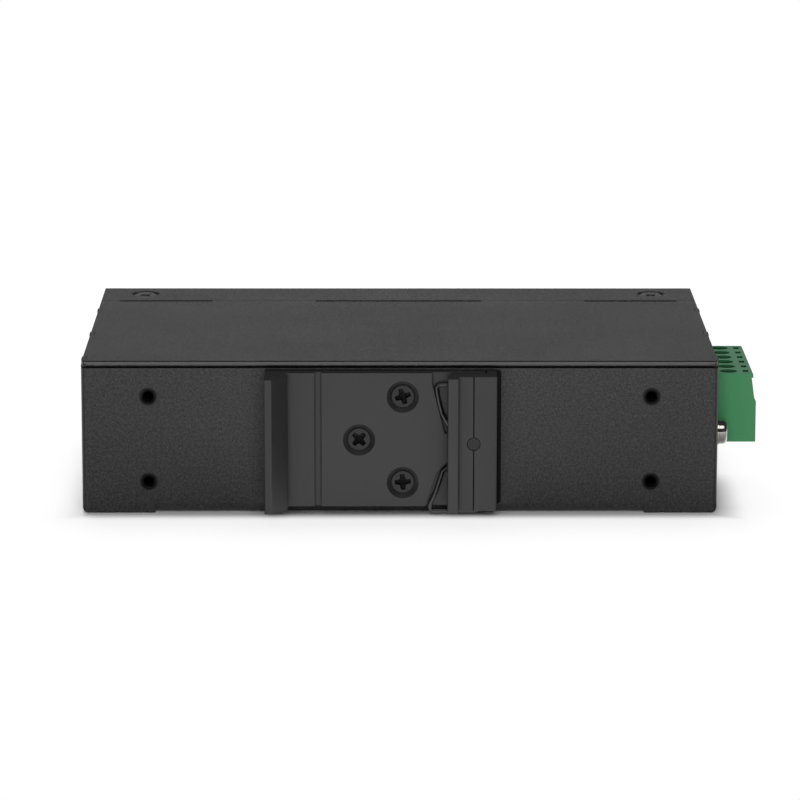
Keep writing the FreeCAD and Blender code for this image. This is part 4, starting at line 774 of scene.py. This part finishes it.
def aim_camera(azimuth, elevation, roll, offset, distance, focal):
    """Camera of the photograph.

    Angles are in degrees, offset and distance in millimetres and the focal length in pixels. The
    back vector points from the casing's origin to the camera; right and up complete the frame and
    are turned by the roll about it.
    """
    picture_width = 800
    a, e, r = np.radians([azimuth, elevation, roll])
    back = np.array([math.sin(a) * math.cos(e), -math.cos(a) * math.cos(e), math.sin(e)])
    right = np.array([math.cos(a), math.sin(a), 0.0])
    up = np.cross(back, right)
    right, up = right * math.cos(r) + up * math.sin(r), up * math.cos(r) - right * math.sin(r)
    place = ORIGIN + MM * (right * offset[0] + up * offset[1] + back * distance)
    data = bpy.data.cameras.new("camera")
    data.sensor_width = 36.0
    data.lens = focal * data.sensor_width / picture_width
    data.clip_start = 0.01
    camera = bpy.data.objects.new("camera", data)
    turn = Matrix(np.column_stack([right, up, back]).tolist()).to_4x4()
    camera.matrix_world = Matrix.Translation(Vector(place)) @ turn
    bpy.context.collection.objects.link(camera)
    bpy.context.scene.camera = camera


aim_camera(azimuth=-0.317, elevation=11.826, roll=0.066,
           offset=(0.046, 23.96), distance=938.49, focal=4410.38)


# Floor and light


def floor():
    """Wide white floor that holds the soft shadow near the object and turns plain white further out.

    Mirrored in the paint beside the clip it whitens slowly, so the rear panel is lighter towards
    its top.
    """
    half, level = 4.0, -0.02 * MM
    corners = [(-half, -half, level), (half, -half, level), (half, half, level), (-half, half, level)]
    mesh = bpy.data.meshes.new("floor")
    mesh.from_pydata(corners, [], [(0, 1, 2, 3)])
    plane = bpy.data.objects.new("floor", mesh)
    bpy.context.collection.objects.link(plane)
    paper = Finish("paper", Roughness=0.9, Specular_IOR_Level=0.0, Emission_Strength=1.0)
    watched, mirrored, through = (paper.ray(kind) for kind in ("Camera", "Glossy", "Transmission"))
    direct = watched.at_least(mirrored).at_least(through)
    across, along = (paper.part_of(paper.place, axis) for axis in "XY")
    away = paper.node("ShaderNodeVectorMath", {"operation": "LENGTH"}, {0: paper.place}, "Value")
    ahead = REAR_Y - along

    def beyond(centre, low, high):
        aside = across - centre
        return paper.ramp(aside * aside, low ** 2, high ** 2)

    ends = beyond(MIDDLE_X, 65 * MM, 75 * MM)
    front = paper.ramp(ahead, 0.5 * MM, 7 * MM) * 0.82 + paper.ramp(ahead, 7 * MM, 45 * MM) * 0.18
    white = paper.ramp(away, 0.1, 0.3).at_least(ends * 0.88).at_least(front) * direct
    clip_x = -8 * MM
    dim = beyond(clip_x, 22 * MM, 29 * MM) * mirrored * paper.ramp(ahead, -20 * MM, 0.0)
    slow = 0.15 + paper.ramp(ahead, 0.0, 300 * MM) * 0.85
    far = white * (1 - dim) + slow * dim
    near = paper.blend(dim, paper.blend(direct, grey(0.7, 1), grey(0.94, 1)), grey(0.2, 1))
    black = grey(0)
    paper.feed("Base Color", paper.blend(far, near, black))
    paper.feed("Emission Color", paper.blend(far, black, grey(1, 1)))
    mesh.materials.append(paper.material)


LAMP_SIZE = 0.5


def area_light(name, place, aim, power, mirrored):
    """Square soft lamp aimed at a height over the origin; polished faces show it if it is mirrored."""
    data = bpy.data.lights.new(name, "AREA")
    data.shape = "SQUARE"
    data.size = LAMP_SIZE
    data.energy = power
    lamp = bpy.data.objects.new(name, data)
    lamp.visible_glossy = mirrored
    lamp.location = place
    lamp.rotation_euler = (Vector((0, 0, aim)) - Vector(place)).to_track_quat("-Z", "Y").to_euler()
    bpy.context.collection.objects.link(lamp)


def studio():
    """Dim room with a soft lamp above the far side, one just over the camera and a key lamp higher up.

    Rough faces also get light from the dome overhead, and polished ones show a grey backdrop.
    """
    world = bpy.data.worlds.new("studio")
    sky = Finish("studio", world, "Background", "Generated", Color=grey(1, 1))
    rise, back = (sky.part_of(sky.place, axis) for axis in "ZY")
    watched, mirrored = (sky.ray(kind) for kind in ("Camera", "Glossy"))
    dome = sky.ramp(rise, 0.6, 1.0) * (1 - mirrored) * 0.3
    backdrop = sky.ramp(back, 0.2, 0.6) * (1 - sky.ramp(rise, 0.3, 0.6)) * mirrored * 0.14
    sky.feed("Strength", (dome + backdrop + 0.03).at_least(watched))
    bpy.context.scene.world = world
    area_light("top_lamp", (0.0, 0.32, 0.56), aim=0.03, power=6.6, mirrored=False)
    area_light("front_lamp", (0.0, -0.85, 0.31), aim=0.02, power=2.65, mirrored=False)
    area_light("key_lamp", (0.0, -0.8, 0.8), aim=0.02, power=1.3, mirrored=True)


floor()
studio()
bpy.context.scene.view_settings.view_transform = "Standard"
